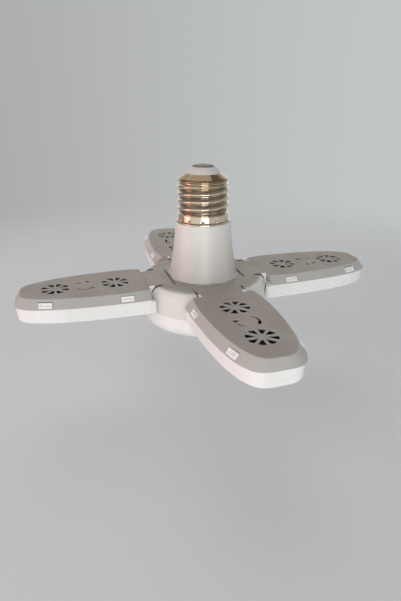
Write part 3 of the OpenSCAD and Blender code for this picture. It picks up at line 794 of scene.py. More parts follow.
@dataclass(frozen=True)
class SpeckledStuff(Finish):
    """A stuff with specks and clouds of other colours, such as solder, glaze or laminate."""

    speck: Colour = srgb(80, 76, 70)
    cloud_colour: Colour = srgb(150, 146, 140)
    speck_scale: float = 900.0
    speck_share: float = 0.35
    cloud_scale: float = 120.0
    cloud_share: float = 0.4
    relief: float = 0.00002

    def dress(self, bench: NodeBench, shader: bpy.types.Node) -> None:
        """Clouds and specks the colour, and roughens the gloss with them."""
        clouds = bench.spread(
            bench.cloud(bench.place(), self.cloud_scale, 5.0, 0.6), 0.35, 0.7, 0.0, self.cloud_share
        )
        dots = self.group(bench, "specks", Scale=self.speck_scale, Amount=self.speck_share)
        smear = self.group(bench, "smudges", Amount=0.6)
        colour = bench.mix(clouds, self.colour, self.cloud_colour)
        bench.wire(bench.mix(dots.outputs["Mask"], colour, self.speck), shader.inputs["Base Color"])
        bench.wire(
            bench.scaled(smear.outputs["Mask"], 0.18, self.roughness), shader.inputs["Roughness"]
        )
        self.bump(bench, shader, bench.math("ADD", clouds, dots.outputs["Mask"]), self.relief, 0.6)


@dataclass(frozen=True)
class TwoFacedBoard(SpeckledStuff):
    """A light board: white lacquer below, bare metal above whose dark colour is partly painted
    shade.
    """

    # Bare metal, darkened further as painted shade seen through the vents.
    upper: Colour = srgb(26, 24, 22)

    def dress(self, bench: NodeBench, shader: bpy.types.Node) -> None:
        """Adds the upper face's colour, partly painted shade, to the specks."""
        super().dress(bench, shader)
        white = shader.inputs["Base Color"].links[0].from_socket
        # Painted shade: the up-facing side takes a colour darker than its bare metal.
        bench.wire(
            bench.mix(bench.spread(bench.facing_up(), 0.2, 0.6), white, self.upper),
            shader.inputs["Base Color"]
        )


@dataclass(frozen=True)
class LightChip(SpeckledStuff):
    """A light chip: a white tray with its yellow pad let in below."""

    pad: Colour = srgb(228, 190, 70)
    pad_levels: tuple[float, ...] = ()

    def dress(self, bench: NodeBench, shader: bpy.types.Node) -> None:
        """Paints what faces down just above the tray's own lower edge."""
        super().dress(bench, shader)
        tray = shader.inputs["Base Color"].links[0].from_socket
        share: object = 0.0
        for level in self.pad_levels:
            near = bench.math("COMPARE", bench.height(), level)
            near.node.inputs[2].default_value = 0.00006
            share = bench.math("MAXIMUM", share, near)
        down = bench.spread(bench.facing_up(), -0.9, -0.6, 1.0, 0.0)
        bench.wire(
            bench.mix(bench.math("MULTIPLY", share, down), tray, self.pad),
            shader.inputs["Base Color"]
        )


@dataclass(frozen=True)
class BandedStuff(SpeckledStuff):
    """A stuff in bands along the lamp's axis, such as a wound coil or a printed sleeve."""

    band: Colour = srgb(200, 198, 190)
    band_scale: float = 600.0
    band_low: float = 0.55
    band_high: float = 0.7

    def dress(self, bench: NodeBench, shader: bpy.types.Node) -> None:
        """Adds the bands to the specks."""
        super().dress(bench, shader)
        under = shader.inputs["Base Color"].links[0].from_socket
        waves = bench.lay("ShaderNodeTexWave", wave_type="BANDS", bands_direction="Z")
        bench.wire(bench.place(), waves.inputs["Vector"])
        waves.inputs["Scale"].default_value = self.band_scale
        bands = bench.spread(waves.outputs["Fac"], self.band_low, self.band_high)
        bench.wire(bench.mix(bands, under, self.band), shader.inputs["Base Color"])


# ---------- Sizes shared by the sub-assemblies ----------


@dataclass(frozen=True)
class Levels:
    """Heights of the lamp's parts, down from the top of its centre contact."""

    insulator: float = -4.4
    skirt: float = -23.42
    neck: float = -28.52
    top: float = -57.42
    rim: float = -61.72
    pivot: float = -61.52
    lens: float = -69.72
    foot: float = -69.02
    drum: float = -71.02
    dome: float = -82.42


LEVEL = Levels()
HINGE_R = 26.75
TONGUE_HALF = 12.0
NOTCH_HALF = 12.5
POST_D = 4.8
PILOT_D = 2.3


# ---------- Screw cap ----------


@dataclass
class ScrewCap:
    """The screw cap: centre contact, insulating collar and threaded shell."""

    contact_r: float = 5.7
    collar_r: float = 8.6
    crest_r: float = 13.2
    depth: float = 1.1
    pitch: float = 3.63
    wall: float = 0.4
    skirt_r: float = 14.0
    thread_top: float = -8.5
    phase: float = -107.9
    lead_in: float = 0.16
    crimps: int = 12
    crimp_z: float = -27.3
    crimp_half_w: float = 0.55
    crimp_half_h: float = 0.62
    crimp_depth: float = 0.55
    contact: Finish = field(default_factory=lambda: SpeckledStuff(
        "contact", srgb(104, 99, 94), 0.3, 1.0, speck=srgb(58, 54, 50),
        cloud_colour=srgb(138, 133, 126), cloud_share=0.5))
    collar: Finish = field(default_factory=lambda: SpeckledStuff(
        "insulator", srgb(206, 203, 200), 0.42, speck=srgb(170, 162, 152),
        cloud_colour=srgb(190, 186, 180), speck_share=0.2, relief=0.00001))
    plating: Finish = field(
        default_factory=lambda: PlatedMetal(
            "cap_metal", srgb(212, 198, 178), 0.07, 1.0, warm=srgb(190, 168, 142)
        )
    )

    def contact_piece(self) -> None:
        """A pressed disc with a solder bead in its middle."""
        r = self.contact_r
        profile = rounded([
            (0, 0.0, 0), (1.5, -0.02, 0.8), (2.5, -0.2, 0.8), (r - 1.3, -0.4, 1.5),
            (r, -0.95, 0.35),
            (r, -1.25, 0), (0, -1.25, 0)], 6)
        bm = turned(profile, 96)
        Piece(
            "cap_contact", "hub", "contact", ("contact_button",)
        ).finish(bm, self.contact.material())

    def collar_piece(self) -> None:
        """The convex collar between the contact and the metal, with a seat for the contact."""
        quarter = math.pi / 2
        outer: list[Point] = []
        for a in [math.radians(90 - 7.5 * k) for k in range(13)]:
            away = 0.25 * math.cos(a) + 0.75 * (1 - a / quarter)
            up = 0.25 * math.sin(a) + 0.75 * a / quarter
            reach = (self.collar_r - self.contact_r + 0.4) * away
            outer.append((self.contact_r - 0.4 + reach, LEVEL.insulator + 3.5 * up))
        foot = LEVEL.insulator - 1.0
        profile = [
            (1.3, -1.2), (self.contact_r - 0.6, -1.2), *outer, (self.collar_r - 0.3, foot),
            (1.3, foot),
        ]
        bm = turned(profile, 96, closed=True)
        Piece(
            "cap_collar", "hub", "insulator", ("cap_insulator",)
        ).finish(bm, self.collar.material())

    def thread_at(self, angle: float, z: float) -> float:
        """How far the thread stands out of its groove.

        Args:
            angle: Angle round the axis, in radians.
            z: Height in millimetres.

        Returns:
            The height over the groove, in millimetres.
        """
        down = self.thread_top - z
        whole = self.thread_top - LEVEL.skirt
        if not 0 < down < whole:
            return 0.0
        turn = (angle - math.radians(self.phase)) / TURN
        wave = 0.5 - 0.5 * math.cos(TURN * (down / self.pitch + turn + self.lead_in))
        fade = min(1.0, down / (0.3 * self.pitch), (whole - down) / (0.45 * self.pitch))
        return self.depth * wave**0.8 * fade * fade * (3 - 2 * fade)

    def shell_piece(self) -> None:
        """The threaded shell: a spun tube, pressed into the thread and crimped at its skirt."""
        root = self.crest_r - self.depth
        cone = rounded([
            (self.collar_r - 0.2, LEVEL.insulator + 0.02, 0),
            (self.collar_r + 0.35, LEVEL.insulator + 0.02, 0.25), (12.2, -6.7, 1.3),
            (12.85, -7.6, 0.5), (root, self.thread_top + 0.2, 0.25), (root, self.thread_top, 0)], 5)
        steps = 76
        tube = [
            (root, self.thread_top - 0.05 + (LEVEL.skirt + 0.3 - self.thread_top) * k / steps)
            for k in range(steps + 1)
        ]
        skirt = rounded([
            (root, LEVEL.skirt + 0.2, 0), (root, LEVEL.skirt, 0.3), (13.15, LEVEL.skirt - 0.7, 0.5),
            (13.3, -27.2, 0.6),
            (self.skirt_r, -28.0, 0.3), (self.skirt_r, LEVEL.neck + 0.02, 0)], 4)
        lower: list[Point] = []
        for a, b in zip(skirt[1:], skirt[2:]):
            cuts = max(1, round(abs(a[1] - b[1]) / 0.22))
            lower += [
                (a[0] + (b[0] - a[0]) * k / cuts, a[1] + (b[1] - a[1]) * k / cuts)
                for k in range(cuts)
            ]
        bm = turned([*cone, *tube, *lower, skirt[-1]], 180)
        for v in bm.verts:
            angle = math.atan2(v.co.y, v.co.x)
            out = self.thread_at(angle, v.co.z)
            gap = (math.degrees(angle) - self.phase) % (360 / self.crimps)
            gap = min(gap, 360 / self.crimps - gap)
            across = math.radians(gap) * self.skirt_r / self.crimp_half_w
            along = (v.co.z - self.crimp_z) / self.crimp_half_h
            out -= self.crimp_depth * math.exp(-across * across - along * along)
            v.co += Vector((v.co.x, v.co.y, 0)).normalized() * out
        bmesh.ops.solidify(bm, geom=bm.faces, thickness=self.wall)
        bmesh.ops.recalc_face_normals(bm, faces=bm.faces)
        Piece(
            "cap_thread_shell", "hub", "cap_metal", ("screw_shell",), sharp=50
        ).finish(bm, self.plating.material())

    def build(self) -> None:
        """Makes the three pieces of the cap."""
        self.contact_piece()
        self.collar_piece()
        self.shell_piece()


# ---------- Neck, drum and centre light ----------


@dataclass
class Hub:
    """The white neck and four-lobed drum, and the opal light under it."""

    neck_top_r: float = 14.4
    core_r: float = 18.2
    flare: float = 1.5
    drum_r: float = 34.0
    drum_edge: float = 5.5
    fillet: float = 0.9
    wall: float = 1.8
    spigot_r: float = 11.5
    spigot_h: float = 12.0
    dome_r: float = 33.5
    dome_edge: float = 7.0
    dome_wall: float = 1.8
    lip_out: float = 32.0
    lip_in: float = 30.6
    boss_d: float = 8.0
    pin_seat_d: float = 3.44
    screw_r: float = 28.2
    post_h: float = 13.0
    pilot_h: float = 11.0
    # The housing's colour holds painted shade on the up-facing lobe tops and at the neck's foot,
    # and a painted highlight on its edge strips.
    shell: Finish = field(default_factory=lambda: MouldedPlastic(
        "housing", srgb(226, 224, 219), 0.34, shade_colour=srgb(128, 124, 108), flow=srgb(214, 210, 203),
        top_shade=0.85, steep=0.8,
        foot=(-0.0572, -0.026, 0.34), worn_highlight=srgb(234, 232, 226)))
    # The dome's opal carries a painted highlight along its lower edge.
    opal: Finish = field(
        default_factory=lambda: MilkyPlastic(
            "diffuser", srgb(245, 245, 243), 0.26, lower_edge_levels=(-0.0822, -0.0772)
        )
    )

    def neck_radius(self, share: float) -> float:
        """Radius of the neck at a share of its height, from the cap down."""
        return self.neck_top_r + (self.core_r - self.neck_top_r) * share**self.flare

    def notches(self, half: float, root: float, flare: float) -> bmesh.types.BMesh:
        """The four tools that leave room for the tongues.

        Args:
            half: Half width of a notch.
            root: Distance of its inner wall from the axis.
            flare: How far its upper rim opens at the sides, as a small round.

        Returns:
            The four tools in one mesh.
        """
        steps = [(LEVEL.drum - 2, 0.0)]
        if flare > 0:
            steps += [
                (LEVEL.top - flare * low, flare * out)
                for low, out in ((1.0, 0.0), (0.45, 0.14), (0.12, 0.5), (0.0, 1.0))
            ]
        steps.append((LEVEL.top + 5, flare))
        tools = []
        for side in Side:
            tool = stacked(
                [
                    (
                        z,
                        grown(
                            [(root + out, -half), (50, -half), (50, half), (root + out, half)], out
                        )
                    )
                    for z, out in steps
                ]
            )
            bmesh.ops.rotate(
                tool, verts=tool.verts, cent=(0, 0, 0),
                matrix=Matrix.Rotation(math.radians(side.value), 3, "Z")
            )
            tools.append(tool)
        return gathered(tools)

    def shell_piece(self) -> None:
        """Neck and drum in one moulding, hollow, with bosses for the pins and the screws."""
        top = LEVEL.top
        neck = [
            (self.neck_radius(k / 24), LEVEL.neck - (LEVEL.neck - top - self.fillet) * k / 24)
            for k in range(25)
        ]
        crown = rounded(
            [
                (self.spigot_r, LEVEL.neck + self.spigot_h, 0), (self.spigot_r, LEVEL.neck, 0),
                (self.neck_top_r - 0.02, LEVEL.neck, 0.35), neck[1] + (0.0,)
            ],
            4
        )
        outer = [
            (0, LEVEL.neck + self.spigot_h), *crown[:-1], *neck[1:],
            *arc(self.core_r + self.fillet, top + self.fillet, self.fillet, 188, 270, 8)[1:],
            *arc(self.drum_r - self.drum_edge, top - self.drum_edge, self.drum_edge, 90, 0, 12),
            *rounded(
                [(self.drum_r, top - 8, 0), (self.drum_r, LEVEL.drum, 0.35), (0, LEVEL.drum, 0)], 3
            ),
        ]
        inner = [
            (0, LEVEL.neck + self.spigot_h + 1),
            (self.spigot_r - self.wall, LEVEL.neck + self.spigot_h + 1),
            (self.spigot_r - self.wall, LEVEL.neck - 1),
            *[
                (
                    self.neck_radius(k / 8) - self.wall,
                    LEVEL.neck - 2 - (LEVEL.neck - 2 - top) * k / 8
                )
                for k in range(1, 9)
            ],
            (self.core_r + 1, top - self.wall),
            *arc(
                self.drum_r - self.drum_edge, top - self.drum_edge, self.drum_edge - self.wall, 90,
                0, 5
            ),
            (self.drum_r - self.wall, LEVEL.drum - 1), (0, LEVEL.drum - 1),
        ]
        bm = worked(turned(outer), self.notches(NOTCH_HALF, self.core_r, 0.22), Cut.AWAY)
        hollow = worked(
            turned(inner, 96), self.notches(NOTCH_HALF + self.wall, self.core_r - self.wall, 0.0),
            Cut.AWAY
        )
        bosses = []
        for side in Side:
            turn = Matrix.Rotation(math.radians(side.value), 3, "Z")
            for hand in (-1, 1):
                a, b = (
                    turn @ Vector((HINGE_R, hand * y, LEVEL.pivot))
                    for y in (NOTCH_HALF, NOTCH_HALF + self.wall + 1.5)
                )
                bosses.append(rod(a, b, self.boss_d))
            a = turn @ Vector(
                (self.screw_r * math.sqrt(0.5), self.screw_r * math.sqrt(0.5), LEVEL.drum + 1.5)
            )
            bosses.append(rod(a, a + Vector((0, 0, self.post_h)), POST_D))
        hollow = worked(hollow, gathered(bosses), Cut.AWAY)
        bm = worked(bm, hollow, Cut.AWAY)
        bores = [rod((0, 0, LEVEL.drum - 1), (0, 0, LEVEL.drum + 1.5), 2 * self.lip_out + 0.2, 96)]
        for side in Side:
            turn = Matrix.Rotation(math.radians(side.value), 3, "Z")
            for hand in (-1, 1):
                a, b = (
                    turn @ Vector((HINGE_R, hand * y, LEVEL.pivot))
                    for y in (NOTCH_HALF - 1, NOTCH_HALF + self.wall + 2.5)
                )
                bores.append(rod(a, b, self.pin_seat_d))
            a = turn @ Vector(
                (self.screw_r * math.sqrt(0.5), self.screw_r * math.sqrt(0.5), LEVEL.drum + 1)
            )
            bores.append(rod(a, a + Vector((0, 0, self.pilot_h)), PILOT_D))
        bm = worked(bm, gathered(bores), Cut.AWAY)
        Piece(
            "neck_and_drum", "hub", "housing", ("housing",), sharp=38
        ).finish(bm, self.shell.material())

    def light_piece(self) -> None:
        """The round opal cap under the drum, with the lip that centres it."""
        r, top = self.dome_r, LEVEL.drum
        inner_r = r - self.dome_wall
        profile = [
            (0, LEVEL.dome),
            *arc(r - self.dome_edge, LEVEL.dome + self.dome_edge, self.dome_edge, 270, 360, 16),
            *rounded([(r, top - 1, 0), (r, top, 0.3), (self.lip_out, top, 0)], 3)[1:-1],
            (self.lip_out, top), (self.lip_out, top + 1.4), (self.lip_in, top + 1.4),
            (self.lip_in, top - 0.8), (inner_r, top - 2.2),
            *arc(
                inner_r - self.dome_edge + self.dome_wall, LEVEL.dome + self.dome_edge,
                self.dome_edge - self.dome_wall, 360, 270, 12
            ),
            (0, LEVEL.dome + self.dome_wall),
        ]
        bm = turned(profile)
        Piece(
            "centre_light_cover", "hub", "diffuser", ("centre_diffuser",)
        ).finish(bm, self.opal.material())

    def build(self) -> None:
        """Makes the two mouldings of the hub."""
        self.shell_piece()
        self.light_piece()


# ---------- Leaves ----------


@dataclass
class Leaf:
    """One light leaf: the grey cover with its vents, and the opal diffuser that snaps into it."""

    shoulder: float = 32.5
    tip: float = 97.5
    half: float = 19.9
    taper: float = 3.6
    power: float = 4.4
    softer: float = 0.7
    corner: float = 1.0
    bevel_w: float = 2.6
    crease_r: float = 0.9
    wall: float = 1.8
    lens_step: float = 0.35
    lens_wall: float = 1.5
    lens_round: float = 1.8
    cheek_x: float = 29.6
    cheek_t: float = 1.2
    barrel_r: float = 6.3
    pin_bore: float = 3.5
    pin_in: float = 3.8
    vents: tuple[float, ...] = (47.8, 77.8)
    vent_r: float = 7.1
    vent_core: float = 2.2
    vent_w: float = 3.7
    vent_tip: float = 0.5
    vent_n: int = 8
    arc_x: float = 63.0
    arc_r: float = 5.2
    arcs: tuple[tuple[float, float, float], ...] = ((39, 143, 1.45), (281, 325, 1.1))
    peg: tuple[float, float] = (253, 2.7)
    skin: float = 0.7
    hooks: tuple[float, ...] = (44.5, 83.3)
    window_l: float = 6.8
    window: tuple[float, float] = (0.45, 3.15)
    root_spread: float = 1.6
    lip_x: float = 19.7
    lip_t: float = 1.2
    heel_r: float = 34.45
    heel_top: float = -63.1
    seats: tuple[float, ...] = (37.45, 63.0, 89.5)
    groove_half: float = 0.22
    groove_depth: float = 0.3
    pocket_half: float = 2.3
    pocket_depth: float = 2.25
    lip: float = 0.22
    # The cover's colour holds painted shade on what faces up, and a painted highlight on its edge
    # strips.
    cover_finish: Finish = field(default_factory=lambda: MouldedPlastic(
        "cover", srgb(184, 182, 178), 0.42, shade_colour=srgb(139, 124, 111), flow=srgb(175, 170, 162),
        top_shade=0.7, steep=0.9,
        wear_and_highlight=0.5, worn_highlight=srgb(190, 187, 181), grain=0.8))
    # The lens's opal carries a painted highlight along its lower edge.
    opal: Finish = field(
        default_factory=lambda: MilkyPlastic("diffuser", srgb(245, 245, 243), 0.24)
    )

    def half_at(self, share: float, half: float, inset: float = 0.0) -> float:
        """Half width at a share of the length; the tip is rounder further inside the rim."""
        power = self.power - self.softer * min(1.0, inset / self.bevel_w)
        return (half - self.taper * share * share) * max(0.0, 1 - share**power) ** (1 / power)

    def outline(self, inset: float, start: float, corner: float) -> list[Point]:
        """The leaf's outline in plan.

        Args:
            inset: How far it lies inside the rim.
            start: Distance of its straight end from the lamp's axis.
            corner: Radius of the two corners at that end.

        Returns:
            The outline, anticlockwise.
        """
        half, length = self.half - inset, self.tip - inset - start
        shares = [0.72 * k / 16 for k in range(17)]
        first = math.asin(0.72 ** (self.power / 2))
        shares += [
            math.sin(first + (math.pi / 2 - first) * k / 30) ** (2 / self.power)
            for k in range(1, 31)
        ]
        flank = [(start + max(s, corner / length + s * 0.001) * length, s) for s in shares]
        upper = [
            *arc(start + corner, half - corner, corner, 180, 90, 4)[:-1],
            *[(x, self.half_at(s, half, inset)) for x, s in flank]
        ]
        return [*[(x, -y) for x, y in upper], *reversed(upper[:-1])]

    def rim_y(self, x: float) -> float:
        """Half width of the rim at a distance from the lamp's axis."""
        return self.half_at((x - self.shoulder) / (self.tip - self.shoulder), self.half)

    def at_rim(self, x: float, hand: int) -> Matrix:
        """The place on the rim at x: X points inwards, Y runs up, Z runs along the rim."""
        slope = (self.rim_y(x + 0.1) - self.rim_y(x - 0.1)) / 0.2
        along = Vector((1, hand * slope, 0)).normalized()
        inwards = Vector((along.y, -along.x, 0)) * hand
        up = Vector((0, 0, 1))
        return Matrix((
            (inwards.x, up.x, along.x, x), (inwards.y, up.y, along.y, hand * self.rim_y(x)),
            (inwards.z, up.z, along.z, 0), (0, 0, 0, 1)))

    def at_hooks(self, tool: Callable[[], bmesh.types.BMesh]) -> list[bmesh.types.BMesh]:
        """Places a tool at each of the four snap hooks.

        Args:
            tool: Makes the tool, in the plane square to the rim.

        Returns:
            The four placed tools.
        """
        placed = []
        for x in self.hooks:
            for hand in (-1, 1):
                bm = tool()
                bmesh.ops.transform(bm, matrix=self.at_rim(x, hand), verts=bm.verts)
                bmesh.ops.recalc_face_normals(bm, faces=bm.faces)
                placed.append(bm)
        return placed

    def slot_tool(self, points: Sequence[Point]) -> bmesh.types.BMesh:
        """A slot through the cover's plate whose upper rim opens in a small round."""
        top, lip = LEVEL.top, self.lip
        steps = [
            (top - self.wall - 1, 0.0), (top - lip, 0.0), (top - lip * 0.4, lip * 0.2),
            (top - lip * 0.1, lip * 0.6), (top + 0.02, lip), (top + 1, lip)
        ]
        return stacked([(z, grown(points, out) if out else points) for z, out in steps])

    def slot_outlines(self) -> list[list[Point]]:
        """The outlines in the plate: two rings of vents, the curved slots and a round hole."""
        found: list[list[Point]] = []
        bulge = self.vent_w / 4
        wedge = [(self.vent_core, -self.vent_tip / 2), (self.vent_r - bulge, -self.vent_w / 2)]
        for a in [math.radians(degrees) for degrees in range(-60, 61, 20)]:
            out = self.vent_r - bulge + bulge * math.cos(a)
            wedge.append((out, self.vent_w / 2 * math.sin(a)))
        wedge += [(self.vent_r - bulge, self.vent_w / 2), (self.vent_core, self.vent_tip / 2)]
        for x in self.vents:
            for k in range(self.vent_n):
                a = TURN * (k + 0.5) / self.vent_n
                c, s = math.cos(a), math.sin(a)
                found.append([(x + px * c - py * s, px * s + py * c) for px, py in wedge])
        for start, end, width in self.arcs:
            outer = arc(self.arc_x, 0, self.arc_r + width / 2, start, end, 14)
            inner = arc(self.arc_x, 0, self.arc_r - width / 2, end, start, 14)
            found.append([*outer, *inner])
        spot, size = math.radians(self.peg[0]), self.peg[1]
        found.append(
            arc(
                self.arc_x + self.arc_r * math.cos(spot), self.arc_r * math.sin(spot), size / 2, 0,
                345, 23
            )
        )
        return found

    def root_widened(self, bm: bmesh.types.BMesh) -> bmesh.types.BMesh:
        """Lets the sloping border grow wider towards the tongue."""
        for v in bm.verts:
            near = max(0.0, 1 - (v.co.x - self.shoulder) / 18)
            up = min(1.0, max(0.0, (v.co.z - LEVEL.rim) / (LEVEL.top - LEVEL.rim)))
            v.co.y -= math.copysign(self.root_spread * near * near * up, v.co.y)
        return bm

    def cover_mesh(self) -> bmesh.types.BMesh:
        """The cover: plate, sloping border, tongue, screw seats, vents and hook windows."""
        top, rim, pivot = LEVEL.top, LEVEL.rim, LEVEL.pivot
        section = rounded([(0, rim, 0), (self.bevel_w, top, self.crease_r), (8, top, 0)], 6)[:-1]
        bm = self.root_widened(
            stacked([(z, self.outline(inset, self.shoulder, self.corner)) for inset, z in section])
        )
        inside = rounded(
            [
                (self.wall, rim - 0.2, 0), (self.bevel_w + 1.2, top - self.wall, 0.5),
                (9, top - self.wall, 0)
            ],
            3
        )[:-1]
        cavity = self.root_widened(
            stacked(
                [(z, self.outline(inset, self.shoulder + self.wall, 0.6)) for inset, z in inside]
            )
        )
        bm = worked(bm, cavity, Cut.AWAY)
        rounds = [*[(x, self.vent_r + 1.2) for x in self.vents], (self.arc_x, self.arc_r + 1.3)]
        fields = [
            rod((x, 0, top - self.wall - 0.6), (x, 0, top - self.skin), 2 * r, 64)
            for x, r in rounds
        ]
        bm = worked(bm, gathered(fields), Cut.AWAY)
        root = 180 - math.degrees(math.asin((top - self.lip_t - pivot) / self.barrel_r))
        end = self.cheek_x - 0.1
        lower = 360 - math.degrees(math.acos((end - HINGE_R) / self.barrel_r))
        profile = [
            (end, top), (self.lip_x, top), (self.lip_x, top - self.lip_t),
            *arc(HINGE_R, pivot, self.barrel_r, root, lower, 20)
        ]
        tongue = pushed(profile, -TONGUE_HALF, TONGUE_HALF)
        eased(
            tongue, 0.3,
            lambda e: abs(abs(middle(e).y) - TONGUE_HALF) < 0.01 and middle(e).x < end - 0.1, 3
        )
        eased(tongue, 0.35, lambda e: middle(e).x < HINGE_R - 2 and middle(e).z > top - 0.2, 3, 20)
        inner_half = TONGUE_HALF - self.cheek_t - 0.1
        neck = block(
            (HINGE_R, -inner_half, pivot - 0.6), (self.shoulder + self.wall, inner_half, top)
        )
        bm = worked(worked(bm, tongue, Cut.ONTO), neck, Cut.ONTO)
        seats = [rod((x, 0, rim - 0.8), (x, 0, top - 0.5), POST_D) for x in self.seats]
        bm = worked(bm, gathered(seats), Cut.ONTO)
        tools = [self.slot_tool(points) for points in self.slot_outlines()[:-1]]
        bm = worked(bm, gathered(tools), Cut.AWAY)
        low, high = self.window
        near = (-1, rim + low, -self.window_l / 2)
        far = (self.bevel_w + 1.4, rim + high, self.window_l / 2)
        bm = worked(bm, gathered(self.at_hooks(lambda: block(near, far))), Cut.AWAY)
        room = TONGUE_HALF - self.pin_in - 1.2
        more = [self.slot_tool(self.slot_outlines()[-1])]
        for hand in (-1, 1):
            deep_end = (HINGE_R, hand * (TONGUE_HALF - self.pin_in - 0.3), pivot)
            more.append(rod(deep_end, (HINGE_R, hand * (TONGUE_HALF + 1), pivot), self.pin_bore))
        more += [
            block(
                (HINGE_R - 1.3, -room, pivot - 1.0),
                (self.shoulder + self.wall + 1, room, top - self.wall)
            )
        ]
        more += [
            rod((x, 0, rim - 2), (x, 0, top - self.wall - 0.2), PILOT_D, 24) for x in self.seats
        ]
        bm = worked(bm, gathered(more), Cut.AWAY)
        half, deep = self.groove_half, top - self.groove_depth
        groove = [(self.shoulder + x, z) for x, z in (
            (-half, top + 0.5), (-half, top), (-0.1, deep), (0.1, deep), (half, top),
            (half, top + 0.5))]
        bm = worked(bm, pushed(groove, -TONGUE_HALF, TONGUE_HALF), Cut.AWAY)
        bmesh.ops.recalc_face_normals(bm, faces=bm.faces)
        return bm

    def hook_tool(self) -> bmesh.types.BMesh:
        """A snap hook: a bar along its lower edge, and a shallow pocket in the face above it."""
        rim, step = LEVEL.rim, self.lens_step
        low, high = self.window
        half = self.window_l / 2 - 0.2
        face = [
            (0.34, rim + low + 0.15), (0.62, rim + low + 0.9), (1.02, rim + low + 0.95),
            (1.92, rim + high - 0.2), (3.3, rim + high - 0.5), (3.5, rim + 1.1), (2.45, rim - 0.3),
            (2.45, rim - 2.8), (step + 0.85, rim - 2.8), (step + 0.85, rim - 0.05),
            (2.05, rim + 0.04), (2.4, rim + low + 0.15),
        ]
        bm = bmesh.new()
        outline = bm.faces.new([bm.verts.new((x, z, -half)) for x, z in face])
        made = bmesh.ops.extrude_face_region(bm, geom=[outline], use_keep_orig=True)
        moved = [v for v in made["geom"] if isinstance(v, bmesh.types.BMVert)]
        bmesh.ops.translate(bm, verts=moved, vec=(0, 0, 2 * half))
        bmesh.ops.recalc_face_normals(bm, faces=bm.faces)
        pocket = block(
            (0, rim + low + 1.1, -self.pocket_half),
            (self.pocket_depth, rim + high - 0.65, self.pocket_half))
        return worked(bm, pocket, Cut.AWAY)

    def heels(self) -> list[bmesh.types.BMesh]:
        """The two wedges that fill the diffuser's root up to the drum's round side."""
        made = []
        for hand in (-1, 1):
            plan = [
                (self.shoulder + 1.1, 12.2), (self.shoulder + 1.1, 19.1), (31.5, 18.85),
                (30.5, 18.2), (30.05, 17.3)
            ]
            plan += [(math.sqrt(self.heel_r**2 - y * y), y) for y in (16.5, 15.4, 14.3, 13.2, 12.2)]
            points = [(x, hand * y) for x, y in plan]
            points = points if hand > 0 else points[::-1]
            wedge = stacked([(LEVEL.lens, points), (self.heel_top, points)])
            eased(
                wedge, 1.3,
                lambda e: middle(e).z < LEVEL.lens + 0.01 and middle(e).x < self.shoulder + 1, 4
            )
            eased(
                wedge, 0.5,
                lambda e: middle(e).z > self.heel_top - 0.01 and middle(e).x < self.shoulder + 1, 3
            )
            made.append(wedge)
        return made

    def lens_mesh(self) -> bmesh.types.BMesh:
        """The opal diffuser: a deep round-edged tray, cheeks beside the tongue and snap hooks."""
        rim, low, step = LEVEL.rim, LEVEL.lens, self.lens_step
        section = rounded(
            [(step, rim, 0), (step + 0.35, low, self.lens_round - 0.3), (8, low, 0)], 9
        )[:-1]
        bm = stacked(
            [
                (z, self.outline(inset, self.shoulder + (inset - step) * 0.76, self.corner))
                for inset, z in section
            ]
        )
        foot = block(
            (self.cheek_x, -TONGUE_HALF, LEVEL.foot), (self.shoulder + 2.4, TONGUE_HALF, rim)
        )
        eased(
            foot, 0.6,
            lambda e: middle(e).z < LEVEL.foot + 0.1 and (
                middle(e).x < self.cheek_x + 0.1 or abs(middle(e).y) > TONGUE_HALF - 0.1
            ),
            4
        )
        bm = worked(bm, foot, Cut.ONTO)
        passage = TONGUE_HALF - self.cheek_t
        cheeks = [
            block((self.cheek_x, near, rim - 1), (self.shoulder - 0.1, far, LEVEL.top - 0.2))
            for near, far in ((-TONGUE_HALF, -passage), (passage, TONGUE_HALF))
        ]
        bm = worked(bm, gathered(cheeks), Cut.ONTO)
        bm = worked(bm, gathered(self.heels()), Cut.ONTO)
        wall = self.lens_wall
        inside = rounded(
            [(step + wall, rim + 0.1, 0), (step + wall + 0.4, low + wall, 1.2), (9, low + wall, 0)],
            5
        )[:-1]
        bm = worked(
            bm,
            stacked(
                [
                    (
                        z,
                        self.outline(inset, self.shoulder + wall + (inset - step - wall) * 0.6, 0.6)
                    )
                    for inset, z in inside
                ]
            ),
            Cut.AWAY
        )
        way = gathered([
            block(
                (self.cheek_x + self.cheek_t, -passage, LEVEL.foot + wall),
                (self.shoulder + 3, passage, rim + 1)
            ),
            block(
                (self.cheek_x - 1, -passage, LEVEL.pivot - 1.05),
                (self.cheek_x + 2, passage, rim + 6.25)
            )])
        bm = worked(bm, way, Cut.AWAY)
        bm = worked(bm, gathered(self.at_hooks(self.hook_tool)), Cut.ONTO)
        bmesh.ops.recalc_face_normals(bm, faces=bm.faces)
        return bm

    def build(self) -> None:
        """Models one cover and one diffuser, and makes those of all four leaves from them."""
        kinds = (
            ("cover", "cover", self.cover_mesh(), self.cover_finish.material()),
            ("diffuser", "lens", self.lens_mesh(), self.opal.material()),
        )
        for slot, node, bm, material in kinds:
            for side in Side:
                name = side.word
                Piece(
                    f"leaf_{slot}_{name}", f"leaf_{name}", slot, (f"{node}_{name}",), side.value
                ).finish(bm.copy(), material)
            bm.free()


# ---------- Carried-over parts ----------


